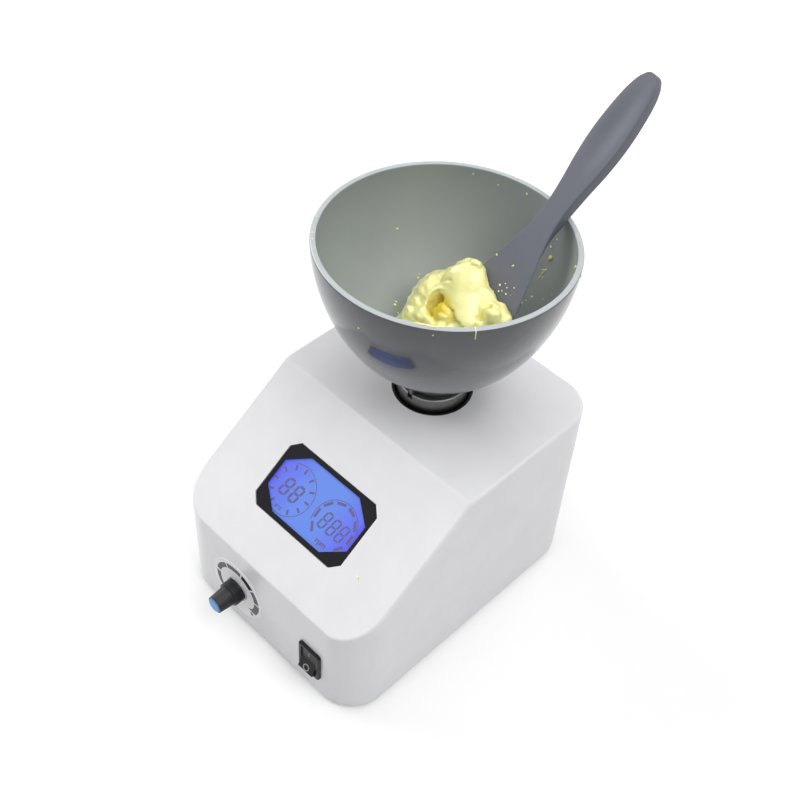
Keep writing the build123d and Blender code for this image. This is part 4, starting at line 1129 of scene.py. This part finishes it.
def wallSmears():
    smears = []
    for start, end, half in crumbs["smears"]:
        line = []
        for step in range(9):
            azimuth, height = (start[i] + (end[i] - start[i]) * step / 8 for i in range(2))
            azimuth += crumbs["ridge"]["wander"] * noise.noise((height, half * 9, 0))
            line.append((onBowlWall(azimuth, height, True), wallNormal(azimuth, height, True)))
        smears.append(ridgeShape(line, half, half * 0.5))
    return smears


def rimSmear():
    look = crumbs["rimSmear"]
    line = []
    for step in range(25):
        azimuth = look["from"] + (look["to"] - look["from"]) * step / 24
        radius = look["radius"] + look["wander"] * noise.noise((step * 0.4, 0.5, 0.1))
        line.append((aroundBowl(azimuth, radius, bowl["rimZ"]), Vector((0, 0, 1))))
    return ridgeShape(line, look["half"], look["thick"])


def rimThread():
    look = crumbs["thread"]
    turn = math.radians(look["azimuth"])
    out, up = Vector((math.cos(turn), math.sin(turn), 0)), Vector((0, 0, 1))
    radius, fall = look["over"][-1]
    path = look["over"] + [(radius, fall - look["drop"] * step / 4) for step in range(1, 5)]
    line = []
    for index, (radius, fall) in enumerate(path):
        tilt = smoothStep(3, 6, index)
        normal = out * tilt + up * (1 - tilt) if index > 1 else up - out
        line.append((aroundBowl(look["azimuth"], radius, bowl["rimZ"] + fall), normal.normalized()))
    return ridgeShape(line, look["half"], look["half"], False)


def addCrumbs(name, shapes, body):
    points, faces = joinShapes(shapes)
    fixNormals(addPiece(name, points, faces, body, "paste_yellow", 180).data)


shapes = wallGrains() + rimGrains() + wallSmears() + [rimSmear(), rimThread()]
addCrumbs("bowlCrumbs", [([leanOver(point) for point in points], faces) for points, faces in shapes], "bowl")
shapes = [grainShape(onBlade(across, along), bladeFace, size) for across, along, size in crumbs["spatula"]]
addCrumbs("spatulaCrumbs", shapes, "spatula")
print("crumbs made")


# display: the pane and what it shows, on the sloping face

# a spot on the display, along measured from its middle
def onSlope(across, along, out):
    return Vector(display["origin"]) + Vector((across, 0, 0)) + slopeUp * (display["middle"] + along) + slopeOut * out


# a rectangle with its corners cut off
def clippedOutline(width, height, cut):
    w, h = width / 2, height / 2
    right = [(w - cut, -h), (w, -h + cut), (w, h - cut), (w - cut, h)]
    return right + [(-x, y) for x, y in reversed(right)]


# a flat outline given thickness, with a small chamfer at its front
def raisedShape(outline, low, high, place, bend=0.0):
    levels = [(0.0, low), (0.0, high - bend), (bend, high)] if bend else [(0.0, low), (0.0, high)]
    middle = sum((Vector(spot) for spot in outline), Vector((0, 0))) / len(outline)
    rings = []
    for inset, level in levels:
        ring = []
        for spot in outline:
            away = Vector(spot) - middle
            spot = middle + away * (1 - inset / max(away.length, 1e-6))
            ring.append(place(spot.x, spot.y, level))
        rings.append(ring)
    return tubeShape(rings)


paneWidth, paneHeight, paneCut = display["pane"]
outline = clippedOutline(paneWidth, paneHeight, paneCut)
points, faces = raisedShape(outline, display["paneLow"], display["paneHigh"], onSlope, 0.15)
displayPane = addPiece("displayPane", points, faces, "housing", "display_glass", 20)
fixNormals(displayPane.data)
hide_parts("display_glass")


# a six-sided bar with pointed ends
def bar(start, end, stroke):
    start, end = Vector(start), Vector(end)
    along = (end - start).normalized()
    side = Vector((-along.y, along.x)) * stroke / 2
    tip = along * stroke / 2
    return [start, start + tip + side, end - tip + side, end, end - tip - side, start + tip - side]


def digitBars(centre, size, stroke, slant):
    width, height = size[0] - stroke, size[1] - stroke
    w, h, gap = width / 2, height / 2, stroke * 0.14
    runs = [((-w, level), (w, level)) for level in (h, 0, -h)]
    runs += [((side, start), (side, start - h)) for start in (h, 0) for side in (-w, w)]
    shear = math.tan(math.radians(slant))
    bars = []
    for start, end in runs:
        start, end = Vector(start), Vector(end)
        along = (end - start).normalized() * gap
        outline = bar(start + along, end - along, stroke)
        bars.append([(centre[0] + p.x + p.y * shear, centre[1] + p.y) for p in outline])
    return bars


def heading(angle):
    turn = math.radians(angle)
    return Vector((math.cos(turn), math.sin(turn)))


# part of a flat ring, inner and outer may change from start to end
def ribbon(centre, inner, outer, startAngle, endAngle, step=3.0):
    count = max(2, int(abs(endAngle - startAngle) / step))
    near, far = [], []
    for index in range(count + 1):
        share = index / count
        direction = heading(startAngle + (endAngle - startAngle) * share)
        near.append(Vector(centre) + direction * (inner[0] + (inner[1] - inner[0]) * share))
        far.append(Vector(centre) + direction * (outer[0] + (outer[1] - outer[0]) * share))
    return near, far


def ribbonShape(near, far, low, high, place):
    corners = ((near, low), (far, low), (far, high), (near, high))
    return tubeShape([[place(*line[index], level) for line, level in corners] for index in range(len(near))])


# a short bar on a circle, along the radius or across it
def radialBar(centre, radius, size, angle, tangent):
    out = heading(angle)
    side = Vector((-out.y, out.x))
    middle = Vector(centre) + out * radius
    along, across = (side, out) if tangent else (out, side)
    a, b = along * size[0] / 2, across * size[1] / 2
    return [middle - a - b, middle + a - b, middle + a + b, middle - a + b]


# a short word in the program's own plain letters, as thin raised shapes
def letterShapes(text, height, centre, place, level):
    look = display["letters"]
    curve = bpy.data.curves.new("letters", "FONT")
    curve.body = text
    curve.align_x = "CENTER"
    curve.align_y = "CENTER"
    curve.size = height * look["size"]
    curve.offset = height * look["heavier"]
    holder = bpy.data.objects.new("letters", curve)
    bpy.context.scene.collection.objects.link(holder)
    bpy.context.view_layer.update()
    settled = holder.evaluated_get(bpy.context.evaluated_depsgraph_get())
    flat = bpy.data.meshes.new_from_object(settled)
    work = bmesh.new()
    work.from_mesh(flat)
    bmesh.ops.remove_doubles(work, verts=work.verts, dist=0.001)
    made = bmesh.ops.extrude_face_region(work, geom=work.faces[:])
    lifted = [item for item in made["geom"] if isinstance(item, bmesh.types.BMVert)]
    bmesh.ops.translate(work, vec=(0, 0, look["thick"]), verts=lifted)
    bmesh.ops.triangulate(work, faces=work.faces[:])
    bpy.data.objects.remove(holder)
    bpy.data.curves.remove(curve)
    bpy.data.meshes.remove(flat)
    return takeShape(work, lambda spot: place(centre[0] + spot.x, centre[1] + spot.y, level + spot.z))


def addPrint(name, shapes, body, slotName, ink):
    points, faces = joinShapes(shapes)
    piece = addPiece(name, points, faces, body, slotName, 20)
    fixNormals(piece.data)
    piece.data.materials.clear()
    piece.data.materials.append(inks[ink])


shown = display["paneHigh"] - 0.01
high = display["paneHigh"] + display["printHigh"]
shapes = []
for group in ("leftDigits", "rightDigits"):
    look = display[group]
    for centre in look["centres"]:
        bars = digitBars(centre, look["size"], look["stroke"], look["slant"])
        shapes += [raisedShape(outline, shown, high, onSlope) for outline in bars]
for group, tangent in (("ticks", False), ("dashes", True)):
    look = display[group]
    for angle in look["angles"]:
        outline = radialBar(look["centre"], look["radius"], look["size"], angle, tangent)
        shapes.append(raisedShape(outline, shown, high, onSlope))
for centre, radius, stroke, start, end in display["circles"]:
    near, far = ribbon(centre, (radius - stroke / 2,) * 2, (radius + stroke / 2,) * 2, start, end)
    shapes.append(ribbonShape(near, far, shown, high, onSlope))
for group in ("unit", "timeUnit"):
    look = display[group]
    shapes.append(letterShapes(look["text"], look["height"], look["centre"], onSlope, shown))
addPrint("displaySegments", shapes, "housing", "display_glass", "segmentInk")
shapes = [grainShape(onSlope(x, u - display["middle"], 0), slopeOut, size) for x, u, size in crumbs["housing"]]
addCrumbs("housingCrumbs", shapes, "housing")
print("display made")

# printed speed scale round the knob, and the marks on the rocker

dial = {
    "x": -19.8, "z": 28.1, "y": -102.6, "low": 0.29, "high": 0.34,
    # inner and outer radius at start and end, start and end angle
    "blocks": [((13.5, 13.45), (16.2, 16.35), 217, 175), ((13.45, 13.4), (16.4, 16.55), 168, 123),
               ((13.4, 13.35), (16.6, 16.7), 119, 78), ((13.3, 13.25), (16.85, 16.95), 38, 5),
               ((13.25, 13.2), (16.95, 17.0), 1, -34)],
    "dark": ((13.1, 13.0), (16.9, 17.0), 74, 42),
    # radius and angle of its corners
    "barb": [(13.2, -34), (17.0, -34), (15.2, -41), (12.0, -46), (12.6, -40)],
    "tick": ((15.1, 15.1), (17.1, 17.1), -45, -51),
}


def onFront(across, up, out):
    return Vector((dial["x"] + across, dial["y"] - out, dial["z"] + up))


shapes = []
for inner, outer, start, end in dial["blocks"] + [dial["tick"], dial["dark"]]:
    near, far = ribbon((0, 0), inner, outer, start, end)
    shapes.append(ribbonShape(near, far, dial["low"], dial["high"], onFront))
addPrint("darkBlock", [shapes.pop()], "housing", "dial_white", "dialInkDark")
barb = [heading(angle) * radius for radius, angle in dial["barb"]]
shapes.append(raisedShape(barb, dial["low"], dial["high"], onFront))
addPrint("speedScale", shapes, "housing", "dial_white", "dialInk")

rocker = {"pivot": (36.7, -101.6, 26.0), "tilt": 12.0, "face": 2.2, "hollow": 2.0 / 9.0, "low": -0.02, "high": 0.04,
          "ring": (1.5, 2.0), "bar": (0.5, 3.2), "ringAt": -5.0, "barAt": 4.6}


# a spot on the rocker's hollowed face, which has two flats that meet in the middle
def onRocker(across, up, out):
    local = Vector((across, -(rocker["face"] + abs(up) * rocker["hollow"]) - out, up))
    return Vector(rocker["pivot"]) + Matrix.Rotation(math.radians(-rocker["tilt"]), 3, "X") @ local


near, far = ribbon((0, rocker["ringAt"]), (rocker["ring"][0],) * 2, (rocker["ring"][1],) * 2, 0, 360, 12)
shapes = [ribbonShape(near, far, rocker["low"], rocker["high"], onRocker)]
w, h = rocker["bar"][0] / 2, rocker["bar"][1] / 2
outline = [(x, rocker["barAt"] + z) for x, z in ((-w, -h), (w, -h), (w, h), (-w, h))]
shapes.append(raisedShape(outline, rocker["low"], rocker["high"], onRocker))
addPrint("rockerMarks", shapes, "rocker", "switch_black", "markInk")
print("marks made")

# floor, light and camera

studio = {
    "camera": {"place": (0.280434, -0.320735, 0.571203), "azimuth": 41.973, "elevation": 47.074, "roll": 4.138,
               "lens": 55.5574},
    "lamps": {
        "top": {"place": (-0.1, -0.1, 1.6), "size": 2.2, "power": 20.0},
        "back": {"place": (0.1, 1.3, 1.4), "size": 1.4, "power": 6.0},
        "left": {"place": (-1.35, -0.3, 0.65), "size": 1.0, "power": 12.0},
        "right": {"place": (0.9, 0.0, 1.4), "size": 0.9, "power": 9.0},
    },
    "lampsAim": (0, -0.02, 0.1), "around": 0.05, "floorColour": (236, 236, 236), "floorLift": 0.22, "floorSize": 6.0,
    "shadowReach": (0.32, 0.9),
}


# 1 for camera, glossy and transmission rays, 0 for light that bounces
def onlySeen(tree):
    path = tree.nodes.new("ShaderNodeLightPath")
    total = mathNode(tree, "ADD", path.outputs["Is Camera Ray"], path.outputs["Is Glossy Ray"])
    return mathNode(tree, "ADD", total, path.outputs["Is Transmission Ray"], True)


def makeFloor():
    half = studio["floorSize"] / 2
    mesh = bpy.data.meshes.new("studioFloor")
    mesh.from_pydata([(-half, -half, 0), (half, -half, 0), (half, half, 0), (-half, half, 0)], [], [(0, 1, 2, 3)])
    floor = bpy.data.objects.new("studioFloor", mesh)
    bpy.context.scene.collection.objects.link(floor)
    material, tree, shader = newMaterial("studioFloor")
    shader.inputs["Base Color"].default_value = fromScreen(*studio["floorColour"])
    shader.inputs["Roughness"].default_value = 0.9
    shader.inputs["Specular IOR Level"].default_value = 0.0
    shader.inputs["Emission Color"].default_value = (1, 1, 1, 1)
    # plain white outside the object's shadow, so that the floor meets the world without an edge
    lift = fadeOver(tree, (0, 0, 0), studio["shadowReach"], (studio["floorLift"], 1.0))
    tree.links.new(mathNode(tree, "MULTIPLY", onlySeen(tree), lift), shader.inputs["Emission Strength"])
    mesh.materials.append(material)


def makeWorld():
    world = bpy.data.worlds.new("studio")
    bpy.context.scene.world = world
    world.use_nodes = True
    tree = world.node_tree
    background = tree.nodes["Background"]
    background.inputs["Color"].default_value = (1, 1, 1, 1)
    seen = onlySeen(tree)
    level = mathNode(tree, "MULTIPLY", seen, 1 - studio["around"])
    tree.links.new(mathNode(tree, "ADD", level, studio["around"]), background.inputs["Strength"])


def makeLamp(name, look):
    light = bpy.data.lights.new(name, "AREA")
    light.energy = look["power"]
    light.size = look["size"]
    lamp = bpy.data.objects.new(name, light)
    lamp.location = look["place"]
    away = Vector(look["place"]) - Vector(studio["lampsAim"])
    lamp.rotation_euler = away.to_track_quat("Z", "Y").to_euler()
    bpy.context.scene.collection.objects.link(lamp)


def makeCamera():
    look = studio["camera"]
    azimuth, elevation, roll = (math.radians(look[key]) for key in ("azimuth", "elevation", "roll"))
    flat = math.cos(elevation)
    away = Vector((math.sin(azimuth) * flat, -math.cos(azimuth) * flat, math.sin(elevation)))
    right = Vector((0, 0, 1)).cross(away).normalized()
    up = away.cross(right)
    turned = right * math.cos(roll) + up * math.sin(roll)
    upright = up * math.cos(roll) - right * math.sin(roll)
    camera = bpy.data.objects.new("camera", bpy.data.cameras.new("camera"))
    camera.data.lens = look["lens"]
    camera.data.sensor_width = 36.0
    camera.data.clip_start = 0.01
    camera.matrix_world = Matrix.Translation(look["place"]) @ Matrix((turned, upright, away)).transposed().to_4x4()
    bpy.context.scene.collection.objects.link(camera)
    bpy.context.scene.camera = camera


makeFloor()
makeWorld()
for name, look in studio["lamps"].items():
    makeLamp(name, look)
makeCamera()
bpy.context.scene.view_settings.view_transform = "Standard"
print("studio made")
